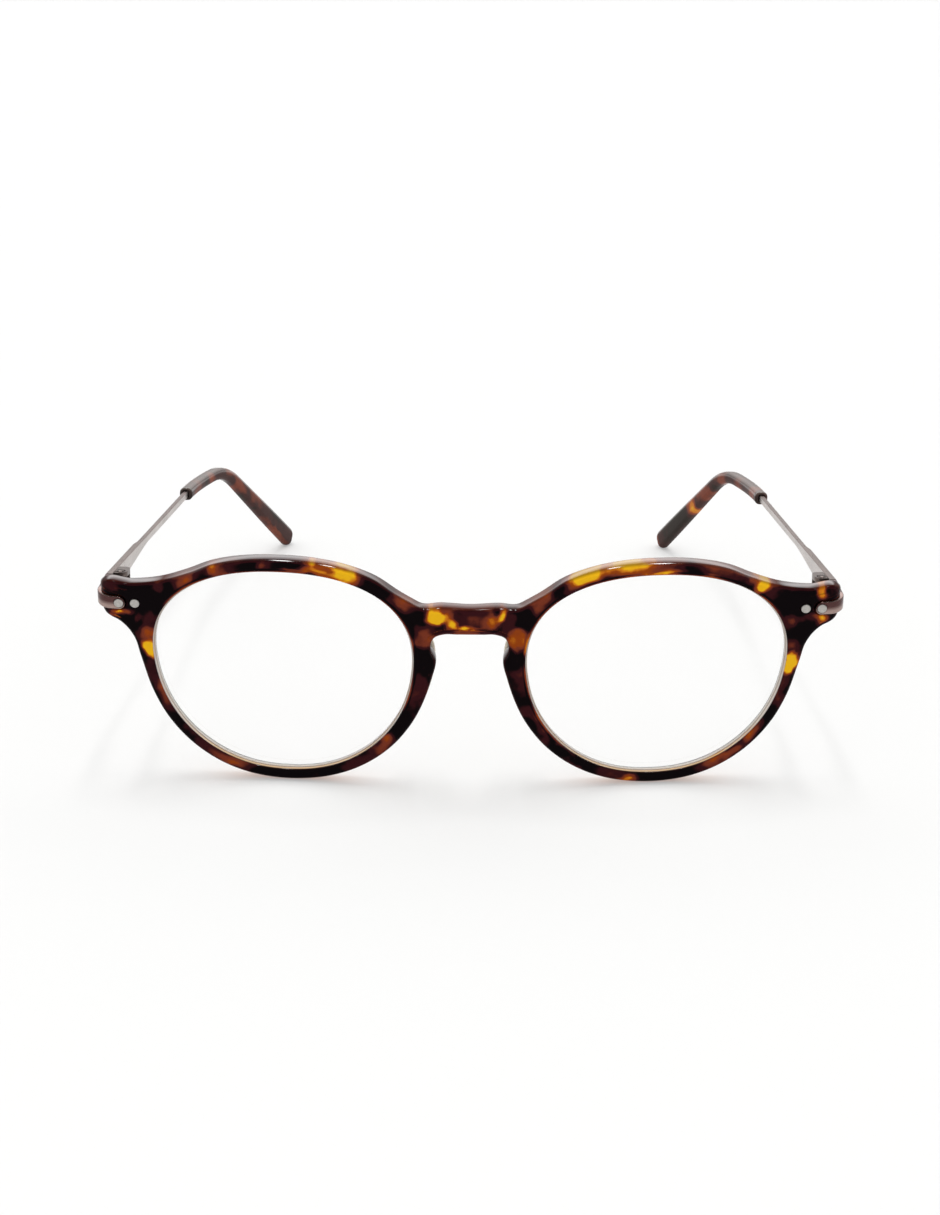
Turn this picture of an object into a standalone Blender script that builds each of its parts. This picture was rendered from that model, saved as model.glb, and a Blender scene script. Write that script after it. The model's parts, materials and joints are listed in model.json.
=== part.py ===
"""Round panto reading glasses: acetate front, metal temples and acetate tips.

Metres, +Z up. The glasses stand open on a table, on the two rims and the two temple tips.
X runs along the front, the front faces -Y, and the wearer's left is +X.
"""

import math

import bmesh
import bpy
import numpy as np
from mathutils import Matrix, Vector

# Lens opening: a superellipse that widens towards the brow
LENS_WIDTH = 0.04755
LENS_HEIGHT = 0.0416
LENS_SQUARENESS = 2.23
LENS_WIDENING_SHARE = 0.122
BRIDGE_GAP = 0.0211

# Rim widths round the opening
RIM_TOP = 0.0022
RIM_BOTTOM = 0.00245
RIM_TEMPLE_SIDE = 0.0023
RIM_NOSE_SIDE = 0.0031

# Acetate front
FRONT_THICKNESS = 0.0034
FRONT_SAG = 0.00517
FRONT_TILT_DEG = 7.14
EDGE_ROUNDING = 0.0006
INNER_ROUNDING = 0.0003
OUTLINE_STEP = 0.0024
FACE_SHARES = (0.1, 0.25, 0.6)
MIRROR_MERGE = 0.00001
CORNER_LIMIT_SHARE = 0.98

# Bridge and keyhole, measured from the middle height of the lenses
BRIDGE_RISE = 0.01425
BRIDGE_HEIGHT = 0.00575
BRIDGE_SHOULDER_REACH = 0.0088
BRIDGE_DIP = 0.00027
CROWN_FLAT = 0.0048
CROWN_CORNER = 0.0022
CROWN_BEVEL = 0.0017
KEYHOLE_WIDTH = 0.0142
NUB_GAP = 0.0123
NUB_DROP = 0.0052
NOSE_FLARE = 0.0009
NOSE_FLARE_DROP = 0.0044
SHOULDER_OUT_SHARE = 0.7
SHOULDER_UP_SHARE = 0.45
BRIDGE_FLAT_SHARE = 0.6

# End pieces
END_PIECE_RISE = 0.01655
END_PIECE_LENGTH = 0.00735
END_PIECE_DEPTH = 0.0068
END_CORNER = 0.0009
END_TURN_RADIUS = 0.0024

# Sweep from the rim out to the end piece: shares of its length and height, and the lens angles faced
END_SWEEP_SHARES = (
    (0.09, -1.18), (0.215, -0.63), (0.385, -0.33), (0.593, -0.13), (0.76, -0.045), (0.89, 0.03),
    (0.966, 0.12),
)
END_SWEEP_FIRST_DEG = 5
END_SWEEP_STEP_DEG = 3.5

# Sweep from the end piece up to the brow: shares of the way along, and the lens angles faced
BROW_SWEEP_SHARES = ((0.3, 49), (0.66, 56))
BROW_SWEEP_POWER = 1.35
BROW_DEG = 66

# Lens and its groove
GROOVE_DEPTH = 0.0009
GROOVE_WIDTH = 0.0016
LENS_EDGE_THICKNESS = 0.0019
LENS_BEVEL = 0.0006
LENS_CLEARANCE = 0.00025
LENS_FRONT_BULGE = 0.0026
LENS_BACK_HOLLOW = 0.0016
LENS_RING_SHARES = (0.02, 0.35, 0.7, 1)

# Nose pads
PAD_LENGTH = 0.0165
PAD_TOP_DROP = 0.0002
PAD_TOP_REACH = 0.0044
PAD_LOW_REACH = 0.0029
PAD_INSET = 0.0007
PAD_DEPTH = 0.0042
PAD_STEPS = 14
PAD_END_SHARE = 0.1
PAD_SWELL_POWER = 0.35
PAD_SECTION_SHARES = ((0, 0), (1, 0), (0.94, 0.4), (0.72, 0.82), (0.42, 1), (0.14, 0.88), (0, 0.5))

# Metal strip on the end piece
STRIP_HEIGHT = 0.0026
STRIP_THICKNESS = 0.0009
STRIP_PROUD = 0.00035
STRIP_SIDE_PROUD = 0.00075
STRIP_FRONT_LENGTH = 0.00485
STRIP_DROP = 0.0037
STRIP_CORNER = 0.0026
STRIP_EDGE = 0.00025
ROUND_END_SHARES = (0.02, 0.12, 0.35, 0.65, 1)
SIDE_LEG_SHARES = (0, 0.3, 0.65, 1)
CORNER_STEPS = 5
POCKET_CLEARANCE = 0.00025
SEAT_GAP = 0.0002

# Rivets
RIVET_DIAMETER = 0.00175
RIVET_SPACING = 0.00295
RIVET_INSET = 0.0012
RIVET_PROUD = 0.00015
RIVET_DOME = 0.00012
RIVET_TOP_SHARE = 0.55
RIVET_SHOULDER_SHARE = 0.92
RIVET_CLEARANCE = 0.00015

# Hinge
HINGE_SETBACK = 0.0085
HINGE_INSET = 0.0022
HINGE_TOE_IN = 0.00025
HINGE_HEIGHT = 0.0034
HINGE_DROP = 0.0015
KNUCKLE_RADIUS = 0.0015
TONGUE_HEIGHT = 0.0011
TONGUE_RADIUS = 0.00125
BRACKET_HEIGHT = 0.0026
BRACKET_THICKNESS = 0.0011
BRACKET_CORNER = 0.0013
BRACKET_OVERHANG = 0.0013
FORK_LENGTH = 0.003
FORK_CORNER_SHARE = 0.8
FORK_TURN_STEPS = 8
FORK_CORNER_STEPS = 4
RUNNING_GAP = 0.0002
JOINT_GAP = 0.0003

# Hinge screw
SCREW_DIAMETER = 0.0011
SCREW_HEAD_DIAMETER = 0.0019
SCREW_HEAD_HEIGHT = 0.0004
SCREW_HEAD_PROUD = 0.00015
SCREW_SLOT_WIDTH = 0.0003
SCREW_SLOT_DEPTH = 0.00025
SCREW_TIP_PROUD = 0.0002
SCREW_CLEARANCE = 0.00012
SCREW_POINT_SHARE = 0.8
SCREW_HEAD_TOP_SHARE = 0.85

# Metal temple
TEMPLE_THICKNESS = 0.0013
TEMPLE_LEAD = 0.0023
TEMPLE_STEP = 0.00035
TEMPLE_STEP_START = 0.02
TEMPLE_STEP_LENGTH = 0.0032
TAPER_START = 0.0065
TAPER_LENGTH = 0.0215
BAR_HEIGHT = 0.0014
BAR_THICKNESS = 0.001
BAR_EDGE = 0.0002
TEMPLE_SPREAD_DEG = 2.8
BRAZE_GAP = 0.0001

# Path of the temple from the hinge to the end of the tip
TEMPLE_LENGTH = 0.1402
BEND_START = 0.0885
BEND_RADIUS = 0.022
BEND_DEG = 35.0
TOE_START = 0.068
TOE_RADIUS = 0.105
TOE_DEG = 12.5

# Acetate tip
TIP_LENGTH = 0.0717
TIP_FRONT_HEIGHT = 0.0028
TIP_FRONT_THICKNESS = 0.0028
TIP_END_HEIGHT = 0.0047
TIP_END_THICKNESS = 0.0024
TIP_EDGE = 0.0008
CORE_CLEARANCE = 0.0002
CORE_END_SPACE = 0.018
TIP_STEP = 0.0035
TIP_ROUND_SHARES = (0, 0.3, 0.6, 0.82, 0.95, 1)
TIP_END_HEIGHT_SHARE = 0.12
TIP_END_THICKNESS_SHARE = 0.3
TIP_MOUTH_SHARE = 0.9

# Overrun of every cutter past the faces that it cuts
OVERRUN = 0.001

LENS_CENTRE_U = BRIDGE_GAP / 2 + LENS_WIDTH / 2
LENS_CENTRE_V = RIM_BOTTOM + LENS_HEIGHT / 2
RIM_OUTER_U = LENS_CENTRE_U + LENS_WIDTH / 2 + RIM_TEMPLE_SIDE
END_PIECE_U = RIM_OUTER_U + END_PIECE_LENGTH
END_PIECE_TOP = LENS_CENTRE_V + END_PIECE_RISE
END_PIECE_BOTTOM = END_PIECE_TOP - END_PIECE_DEPTH
BRIDGE_TOP = LENS_CENTRE_V + BRIDGE_RISE
CROWN_V = BRIDGE_TOP - BRIDGE_HEIGHT
STRIP_V = END_PIECE_TOP - STRIP_DROP
STRIP_OUTER_U = END_PIECE_U + STRIP_SIDE_PROUD
STRIP_MIDDLE_U = STRIP_OUTER_U - STRIP_THICKNESS / 2
STRIP_MIDDLE_DEPTH = STRIP_THICKNESS / 2 - STRIP_PROUD
STRIP_INNER_U = END_PIECE_U - STRIP_FRONT_LENGTH
OUTER_RIVET_U = STRIP_INNER_U + RIVET_INSET
INNER_RIVET_U = OUTER_RIVET_U - RIVET_SPACING
BRACKET_BACK = FRONT_THICKNESS + SEAT_GAP + BRACKET_THICKNESS
HINGE_U = STRIP_OUTER_U - HINGE_TOE_IN - HINGE_INSET
HINGE_V = STRIP_V - HINGE_DROP
TEMPLE_OUTER = HINGE_INSET
TEMPLE_INNER = TEMPLE_OUTER - TEMPLE_THICKNESS
TEMPLE_FRONT = -TEMPLE_LEAD
TEMPLE_TOP = HINGE_HEIGHT / 2
BAR_X = TEMPLE_OUTER - TEMPLE_STEP - BAR_THICKNESS / 2
BAR_Z = TEMPLE_TOP - BAR_HEIGHT / 2
TIP_START = TEMPLE_LENGTH - TIP_LENGTH
CORE_END = TEMPLE_LENGTH - CORE_END_SPACE
FRONT_TILT = math.radians(FRONT_TILT_DEG)
TEMPLE_SPREAD = math.radians(TEMPLE_SPREAD_DEG)
BEND = math.radians(BEND_DEG)
TOE = math.radians(TOE_DEG)

SIDES = (("left", 1), ("right", -1))


def clear_scene():
    for thing in list(bpy.data.objects):
        bpy.data.objects.remove(thing, do_unlink=True)


def material(name, colour, roughness, metallic=0.0, alpha=1.0):
    finish = bpy.data.materials.new(name)
    finish.use_nodes = True
    shader = finish.node_tree.nodes["Principled BSDF"]
    shader.inputs["Base Color"].default_value = (*colour, 1.0)
    shader.inputs["Roughness"].default_value = roughness
    shader.inputs["Metallic"].default_value = metallic
    shader.inputs["Alpha"].default_value = alpha
    finish.diffuse_color = (*colour, alpha)
    return finish


def empty(name, location=(0, 0, 0), rotation=(0, 0, 0)):
    frame = bpy.data.objects.new(name, None)
    bpy.context.collection.objects.link(frame)
    frame.location = location
    frame.rotation_euler = rotation
    return frame


def solid(name, points, faces, parent, finish=None, side=1):
    """A mesh object from points and faces; side -1 gives its mirror image across X."""
    points = np.array(points, dtype=float)
    points[:, 0] *= side
    mesh = bpy.data.meshes.new(name)
    mesh.from_pydata(points.tolist(), [], faces)
    shape = bmesh.new()
    shape.from_mesh(mesh)
    bmesh.ops.recalc_face_normals(shape, faces=shape.faces)
    shape.to_mesh(mesh)
    shape.free()
    mesh.shade_smooth()
    mesh.set_sharp_from_angle(angle=math.radians(35))
    thing = bpy.data.objects.new(name, mesh)
    bpy.context.collection.objects.link(thing)
    thing.parent = parent
    if finish is None:
        thing.hide_render = True
        thing.display_type = "WIRE"
    else:
        mesh.materials.append(finish)
    return thing


def boolean(thing, cutter, operation="DIFFERENCE"):
    modifier = thing.modifiers.new(cutter.name, "BOOLEAN")
    modifier.operation = operation
    modifier.object = cutter


def signed_power(values, power):
    return np.sign(values) * np.abs(values) ** power


def lens_curve(clock):
    """Points (u, v) of the lens opening at the given angles."""
    across = signed_power(np.cos(clock), 2 / LENS_SQUARENESS)
    up = signed_power(np.sin(clock), 2 / LENS_SQUARENESS)
    u = LENS_CENTRE_U + LENS_WIDTH / 2 * across * (1 + LENS_WIDENING_SHARE * up)
    v = LENS_CENTRE_V + LENS_HEIGHT / 2 * up
    return np.stack([u, v], axis=-1)


def lens_normal(clock):
    """Unit vectors that point out of the lens opening, square to its curve."""
    nudge = math.radians(2)
    tangent = lens_curve(clock + nudge) - lens_curve(clock - nudge)
    normal = np.stack([tangent[..., 1], -tangent[..., 0]], axis=-1)
    return normal / np.linalg.norm(normal, axis=-1, keepdims=True)


def rim_point(clock_deg):
    """A point of the rim's outer edge: the lens curve moved out by the rim's width there."""
    clock = math.radians(clock_deg)
    across, up = math.cos(clock), math.sin(clock)
    side_width = RIM_TEMPLE_SIDE if across > 0 else RIM_NOSE_SIDE
    end_width = RIM_TOP if up > 0 else RIM_BOTTOM
    width = side_width * across ** 2 + end_width * up ** 2
    return lens_curve(clock) + lens_normal(clock) * width


def outline_knots():
    """Half outline of the front from the keyhole's crown to the top of the bridge.

    Each knot is (u, v) with the angle of the lens opening that it faces.
    """
    half_key = KEYHOLE_WIDTH / 2
    half_nub = NUB_GAP / 2
    bow = CROWN_CORNER * (1 - math.cos(math.radians(45)))
    under = END_PIECE_BOTTOM
    knots = [
        ((0, CROWN_V), 157),
        ((CROWN_FLAT / 2, CROWN_V), 160),
        ((CROWN_FLAT, CROWN_V), 163),
        ((half_key - bow, CROWN_V - bow), 168),
        ((half_key, CROWN_V - CROWN_CORNER), 173),
        ((half_nub, CROWN_V - NUB_DROP), 180),
        ((half_nub + NOSE_FLARE, CROWN_V - NUB_DROP - NOSE_FLARE_DROP), 190),
    ]
    knots += [(rim_point(angle), angle) for angle in range(204, 354, 12)]
    for k, (along_share, below_share) in enumerate(END_SWEEP_SHARES):
        place = (RIM_OUTER_U + END_PIECE_LENGTH * along_share, under + END_PIECE_DEPTH * below_share)
        knots.append((place, END_SWEEP_FIRST_DEG + END_SWEEP_STEP_DEG * k))
    knots += [
        ((END_PIECE_U, under + END_PIECE_DEPTH / 4), 29),
        ((END_PIECE_U, END_PIECE_TOP - END_PIECE_DEPTH / 3), 32),
        ((END_PIECE_U, END_PIECE_TOP - END_CORNER), 35),
        ((END_PIECE_U - END_CORNER, END_PIECE_TOP), 38),
        ((RIM_OUTER_U + END_PIECE_LENGTH / 5, END_PIECE_TOP), 43),
    ]
    brow = rim_point(BROW_DEG)
    for share, angle in BROW_SWEEP_SHARES:
        u = RIM_OUTER_U + (brow[0] - RIM_OUTER_U) * share
        v = END_PIECE_TOP + (brow[1] - END_PIECE_TOP) * share ** BROW_SWEEP_POWER
        knots.append(((u, v), angle))
    knots += [(rim_point(angle), angle) for angle in range(BROW_DEG, 150, 12)]
    shoulder = BRIDGE_TOP - BRIDGE_DIP
    reach = BRIDGE_SHOULDER_REACH
    knots += [
        ((reach + RIM_TOP * SHOULDER_OUT_SHARE, shoulder + RIM_TOP * SHOULDER_UP_SHARE), 145),
        ((reach, shoulder + BRIDGE_DIP / 2), 148),
        ((reach * BRIDGE_FLAT_SHARE, BRIDGE_TOP), 151),
        ((0, shoulder), 153),
    ]
    return knots


def smooth_outline(step):
    """The outline's points and the lens angles they face, on a curve through the knots."""
    knots = outline_knots()
    places = np.array([knot[0] for knot in knots])
    clocks = np.array([knot[1] for knot in knots], dtype=float)
    clocks[clocks < clocks[0]] += 360
    mirror = np.array([-1, 1])
    padded = np.vstack([places[1] * mirror, places, places[-2] * mirror])
    points, angles = [], []
    for k in range(len(places) - 1):
        before, start, end, after = padded[k:k + 4]
        count = max(1, round(np.linalg.norm(end - start) / step))
        for share in np.arange(count) / count:
            points.append(spline_point(before, start, end, after, share))
            angles.append(clocks[k] + (clocks[k + 1] - clocks[k]) * share)
    points.append(places[-1])
    angles.append(clocks[-1])
    return np.array(points), np.radians(angles)


def spline_point(before, start, end, after, share):
    """A point between start and end on a smooth curve whose slopes follow the spacing."""
    first, middle, last = (
        np.linalg.norm(start - before),
        np.linalg.norm(end - start),
        np.linalg.norm(after - end),
    )
    start_slope = ((start - before) * middle / first + (end - start) * first / middle) / (first + middle)
    end_slope = ((end - start) * last / middle + (after - end) * middle / last) / (middle + last)
    square, cube = share ** 2, share ** 3
    return (
        (2 * cube - 3 * square + 1) * start
        + (cube - 2 * square + share) * middle * start_slope
        + (3 * square - 2 * cube) * end
        + (cube - square) * middle * end_slope
    )


def inward_normals(points):
    """Unit vectors that point from the outline into the acetate."""
    tangent = np.gradient(points, axis=0)
    tangent[0] = tangent[-1] = 0
    tangent[0, 0] = 1
    tangent[-1, 0] = -1
    normal = np.stack([-tangent[:, 1], tangent[:, 0]], axis=-1)
    return normal / np.linalg.norm(normal, axis=-1, keepdims=True)


def on_front(u, depth, v):
    """Front frame point at u across and v up, at a depth behind the curved front face."""
    sag = FRONT_SAG * (np.asarray(u) / END_PIECE_U) ** 2
    return np.stack(np.broadcast_arrays(u, depth + sag, v), axis=-1).astype(float)


def leaned(place, depth):
    """Points (u, v) of a lens opening at a depth, where its wall stands square to the curved face."""
    slope = 2 * FRONT_SAG * place[:, 0] / END_PIECE_U ** 2
    return np.column_stack([place[:, 0] - depth * slope, place[:, 1]])


def turned_depth(u, depth):
    """The depth at u with the front face turned back round the end piece's outer edge."""
    past = np.clip(u - (END_PIECE_U - END_TURN_RADIUS), 0, END_TURN_RADIUS)
    turn = END_TURN_RADIUS - np.sqrt(END_TURN_RADIUS ** 2 - past ** 2)
    return depth + turn * (1 - depth / FRONT_THICKNESS)


def front_section():
    """Cross-section of the acetate, from the front of the lens opening round to the outline's front.

    Each entry is (share, inset, depth): share 0 lies on the lens opening and 1 on the outline, inset
    is how far the point lies inside the acetate there, and depth is measured from the front face.
    """
    back = FRONT_THICKNESS
    groove = back / 2
    half = GROOVE_WIDTH / 2
    soft = INNER_ROUNDING
    inner = [
        (0, soft, 0),
        (0, 0, soft),
        (0, 0, groove - half),
        (0, GROOVE_DEPTH, groove),
        (0, 0, groove + half),
        (0, 0, back - soft),
        (0, soft, back),
    ]
    nick = EDGE_ROUNDING * (1 - math.sqrt(0.5))
    outer = [
        (1, EDGE_ROUNDING, back),
        (1, nick, back - nick),
        (1, 0, back - EDGE_ROUNDING),
        (1, 0, EDGE_ROUNDING),
        (1, nick, nick),
        (1, EDGE_ROUNDING, 0),
    ]
    return inner, outer


def front_frame(parent, finish):
    outline, clocks = smooth_outline(OUTLINE_STEP)
    inward = inward_normals(outline)
    opening = lens_curve(clocks)
    outward = lens_normal(clocks)
    under_crown = np.clip(1 - (outline[:, 0] / (KEYHOLE_WIDTH / 2)) ** 4, 0, 1)
    under_crown[outline[:, 1] > (CROWN_V + BRIDGE_TOP) / 2] = 0
    bevel = 1 + (CROWN_BEVEL / EDGE_ROUNDING - 1) * under_crown
    inner, outer = front_section()
    rows = []
    for share, inset, depth in inner:
        place = leaned(opening + outward * inset, depth)
        rows.append(on_front(place[:, 0], depth, place[:, 1]))
    inner_front = opening + outward * INNER_ROUNDING
    inner_back = leaned(inner_front, FRONT_THICKNESS)
    outer_front = outline + inward * (EDGE_ROUNDING * bevel)[:, None]
    outer_back = outline + inward * EDGE_ROUNDING
    middle = (inner_back + outer_back) / 2
    rows.append(on_front(middle[:, 0], FRONT_THICKNESS, middle[:, 1]))
    for share, inset, depth in outer:
        growth = bevel if depth <= EDGE_ROUNDING else np.ones_like(bevel)
        place = outline + inward * (inset * growth)[:, None]
        rows.append(on_front(place[:, 0], turned_depth(place[:, 0], depth * growth), place[:, 1]))
    for share in FACE_SHARES:
        place = outer_front + (inner_front - outer_front) * share
        rows.append(on_front(place[:, 0], turned_depth(place[:, 0], 0), place[:, 1]))

    rows = np.array(rows)
    around, stations = rows.shape[:2]
    first_outer = len(inner) + 1
    last_outer = first_outer + len(outer) - 1
    faces = []
    for j in range(stations):
        following = (j + 1) % stations
        for i in range(around):
            if following == 0 and first_outer <= i < last_outer:
                continue
            beside = (i + 1) % around
            faces.append((i * stations + j, i * stations + following,
                          beside * stations + following, beside * stations + j))
    points = rows.reshape(-1, 3)
    points[np.abs(points[:, 0]) < MIRROR_MERGE, 0] = 0
    frame = solid("front_frame", points, faces, parent, finish)
    face_the_front(frame.data)
    mirror = frame.modifiers.new("other half", "MIRROR")
    mirror.merge_threshold = MIRROR_MERGE
    return frame


def face_the_front(mesh):
    """Turns an open half shell the right way out, so that its front face looks to -Y."""
    shape = bmesh.new()
    shape.from_mesh(mesh)
    largest = max(shape.faces, key=lambda face: abs(face.normal.y) * face.calc_area())
    lies_in_front = largest.calc_center_median().y < on_front(largest.calc_center_median().x,
                                                              FRONT_THICKNESS / 2, 0)[1]
    if (largest.normal.y > 0) == lies_in_front:
        bmesh.ops.reverse_faces(shape, faces=shape.faces)
    shape.to_mesh(mesh)
    shape.free()


def rounded_rectangle(half_width, half_height, radius, corner_steps=2):
    """Points of a rectangle with round corners, anticlockwise."""
    radius = min(radius, half_width * CORNER_LIMIT_SHARE, half_height * CORNER_LIMIT_SHARE)
    points = []
    for quarter, (sx, sy) in enumerate(((1, 1), (-1, 1), (-1, -1), (1, -1))):
        centre = np.array([sx * (half_width - radius), sy * (half_height - radius)])
        for k in range(corner_steps + 1):
            angle = math.pi / 2 * (quarter + k / corner_steps)
            points.append(centre + radius * np.array([math.cos(angle), math.sin(angle)]))
    return np.array(points)


def loft(rings):
    """Points and faces of a closed solid through rings of equal count, with flat ends."""
    rings = np.array(rings)
    count, around = rings.shape[:2]
    faces = []
    for j in range(count - 1):
        for i in range(around):
            beside = (i + 1) % around
            faces.append((j * around + i, j * around + beside,
                          (j + 1) * around + beside, (j + 1) * around + i))
    faces.append(tuple(range(around)))
    faces.append(tuple(range((count - 1) * around, count * around)))
    return rings.reshape(-1, 3), faces


def prism(plan, bottom, top):
    """A closed solid with the given XY plan between two heights."""
    plan = np.asarray(plan)
    rings = [np.column_stack([plan, np.full(len(plan), height)]) for height in (bottom, top)]
    return loft(rings)


def circle(radius, sides, centre=(0, 0)):
    angles = np.arange(sides) * 2 * math.pi / sides
    return np.column_stack([centre[0] + radius * np.cos(angles), centre[1] + radius * np.sin(angles)])


def lens(name, side, parent, finish):
    """A lens with a bulging front, a hollow back and a bevelled edge that fits the groove."""
    sides = 60
    clock = np.arange(sides) * 2 * math.pi / sides
    curve, outward = lens_curve(clock), lens_normal(clock)
    middle = FRONT_THICKNESS / 2
    half = LENS_EDGE_THICKNESS / 2
    slope = GROOVE_WIDTH / 2 - LENS_CLEARANCE
    centre = np.array([LENS_CENTRE_U, LENS_CENTRE_V])
    rings = []

    def face_ring(share, edge_depth, height):
        edge = leaned(curve - outward * LENS_CLEARANCE, edge_depth)
        place = centre + (edge - centre) * share
        depth = edge_depth - height * (1 - share ** 2)
        sag = FRONT_SAG * (edge[:, 0] / END_PIECE_U) ** 2
        centre_sag = FRONT_SAG * (LENS_CENTRE_U / END_PIECE_U) ** 2
        return np.column_stack([place[:, 0], depth + centre_sag + (sag - centre_sag) * share, place[:, 1]])

    for share in LENS_RING_SHARES:
        rings.append(face_ring(share, middle - half, LENS_FRONT_BULGE))
    for lift, depth in ((-LENS_CLEARANCE, middle - slope), (LENS_BEVEL, middle),
                        (-LENS_CLEARANCE, middle + slope)):
        place = leaned(curve + outward * lift, depth)
        rings.append(on_front(place[:, 0], depth, place[:, 1]))
    for share in reversed(LENS_RING_SHARES):
        rings.append(face_ring(share, middle + half, LENS_BACK_HOLLOW))
    return solid(name, *loft(rings), parent, finish, side)


def nose_pad(name, side, parent, finish):
    """A pad behind the nasal rim: a rounded wedge between the lens opening and the nose.

    Each section is given in shares of the pad's width, from its lens side, and of its depth.
    """
    section = np.array(PAD_SECTION_SHARES)
    middle = section.mean(axis=0)
    top_v = CROWN_V - CROWN_CORNER - PAD_TOP_DROP
    rings = []
    for k in range(PAD_STEPS + 1):
        share = (k + PAD_END_SHARE) / (PAD_STEPS + 2 * PAD_END_SHARE)
        v = top_v - PAD_LENGTH * share
        clock = math.pi + math.asin((LENS_CENTRE_V - v) / (LENS_HEIGHT / 2))
        reach = PAD_TOP_REACH + (PAD_LOW_REACH - PAD_TOP_REACH) * share
        swell = math.sin(math.pi * share) ** PAD_SWELL_POWER
        shaped = middle + (section - middle) * swell
        shaped[:, 1] = section[:, 1] * swell
        distance = PAD_INSET + (reach - PAD_INSET) * shaped[:, 0]
        place = lens_curve(clock) + distance[:, None] * lens_normal(clock)
        rings.append(on_front(place[:, 0], FRONT_THICKNESS + SEAT_GAP + PAD_DEPTH * shaped[:, 1],
                              place[:, 1]))
    return solid(name, *loft(rings), parent, finish, side)


def moved(points, matrix):
    """Points after a 4 by 4 matrix."""
    change = np.array(matrix)
    return np.asarray(points) @ change[:3, :3].T + change[:3, 3]


def hinge_to_front(points, hinge_matrix, front_matrix):
    """Points of the hinge frame, moved into the front frame."""
    return moved(points, front_matrix.inverted() @ hinge_matrix)


def strip_rings(path, ups, half_heights, thickness, edge):
    """Rings of a flat strip along a path, with its height along the given directions."""
    path, ups = np.array(path), np.array(ups)
    tangents = np.gradient(path, axis=0)
    tangents /= np.linalg.norm(tangents, axis=1, keepdims=True)
    rings = []
    for place, tangent, up, half_height in zip(path, tangents, ups, half_heights):
        across = np.cross(tangent, up)
        across /= np.linalg.norm(across)
        section = rounded_rectangle(thickness / 2, half_height, edge, 1)
        rings.append(place + section[:, :1] * across + section[:, 1:] * up)
    return rings


def bent_strip(start_u, depth, corner_u, radius, half, thickness, back, back_up):
    """A strip with a round end on the front, bent round a corner and led on through back points.

    back holds pairs of a point and the half height there; back_up is the height's direction there.
    """
    path, halves, ups = [], [], []
    front_up, back_up = np.array([0, 0, 1]), np.array(back_up)
    for share in ROUND_END_SHARES:
        path.append(on_front(start_u + half * share, depth, STRIP_V))
        halves.append(half * math.sqrt(1 - (1 - share) ** 2))
        ups.append(front_up)
    for k in range(CORNER_STEPS):
        angle = math.pi / 2 * k / CORNER_STEPS
        u = corner_u - radius + radius * math.sin(angle)
        path.append(on_front(u, depth + radius * (1 - math.cos(angle)), STRIP_V))
        halves.append(half)
        blend = front_up + (back_up - front_up) * k / CORNER_STEPS
        ups.append(blend / np.linalg.norm(blend))
    for point, half_height in back:
        path.append(point)
        halves.append(half_height)
        ups.append(back_up)
    return loft(strip_rings(path, ups, halves, thickness, STRIP_EDGE))


def hinge_up(hinge_matrix, front_matrix):
    """Direction of the hinge axis in the front frame."""
    ends = hinge_to_front([(0, 0, 1), (0, 0, 0)], hinge_matrix, front_matrix)
    return ends[0] - ends[1]


def side_leg(outward, extra, hinge_matrix, front_matrix):
    """Points and half heights of the strip's leg from its corner back to the temple."""
    middle = TEMPLE_OUTER - STRIP_THICKNESS / 2
    rear = hinge_to_front([(middle, TEMPLE_FRONT - JOINT_GAP, 0)], hinge_matrix, front_matrix)[0]
    near = on_front(STRIP_MIDDLE_U, STRIP_MIDDLE_DEPTH + STRIP_CORNER, STRIP_V)
    shift = np.array([outward, 0, 0])
    low, high = STRIP_HEIGHT / 2 + extra, HINGE_HEIGHT / 2 + extra
    return [(near + (rear - near) * share + shift, low + (high - low) * share)
            for share in SIDE_LEG_SHARES]


def end_strip(name, side, parent, finish, hinge_matrix, front_matrix):
    """The metal strip: a round-ended leg on the front, a bent corner and a leg back to the temple."""
    back = side_leg(0, 0, hinge_matrix, front_matrix)
    up = hinge_up(hinge_matrix, front_matrix)
    strip = bent_strip(STRIP_INNER_U, STRIP_MIDDLE_DEPTH, STRIP_MIDDLE_U, STRIP_CORNER,
                       STRIP_HEIGHT / 2, STRIP_THICKNESS, back, up)
    return solid(name, *strip, parent, finish, side)


def strip_pocket(side, parent, hinge_matrix, front_matrix):
    """Cutter for the pocket that the strip lies in, round its corner and along its side."""
    outward = (OVERRUN - SEAT_GAP) / 2
    back = side_leg(outward, POCKET_CLEARANCE, hinge_matrix, front_matrix)
    up = hinge_up(hinge_matrix, front_matrix)
    pocket = bent_strip(STRIP_INNER_U - POCKET_CLEARANCE, STRIP_MIDDLE_DEPTH - outward,
                        STRIP_MIDDLE_U + outward, STRIP_CORNER + outward,
                        STRIP_HEIGHT / 2 + POCKET_CLEARANCE, STRIP_THICKNESS + SEAT_GAP + OVERRUN,
                        back, up)
    return solid(f"{side[0]}_pocket_cutter", *pocket, parent, side=side[1])


def rivet_profile(radius, front, back):
    """Rings of a pin along the depth, with slightly domed ends."""
    rings = []
    for dome, share in ((0, RIVET_TOP_SHARE), (RIVET_DOME, RIVET_SHOULDER_SHARE), (2 * RIVET_DOME, 1)):
        rings.append((front + dome, radius * share))
    for dome, share in ((2 * RIVET_DOME, 1), (RIVET_DOME, RIVET_SHOULDER_SHARE), (0, RIVET_TOP_SHARE)):
        rings.append((back - dome, radius * share))
    return rings


def pin_along_depth(name, side, parent, finish, u, profile, sides=20):
    """A turned pin through the front at u, square to the front's plane."""
    sag = on_front(u, 0, 0)[1]
    rings = []
    for depth, radius in profile:
        ring = circle(radius, sides, (u, STRIP_V))
        rings.append(np.column_stack([ring[:, 0], np.full(sides, depth + sag), ring[:, 1]]))
    return solid(name, *loft(rings), parent, finish, side)


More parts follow.
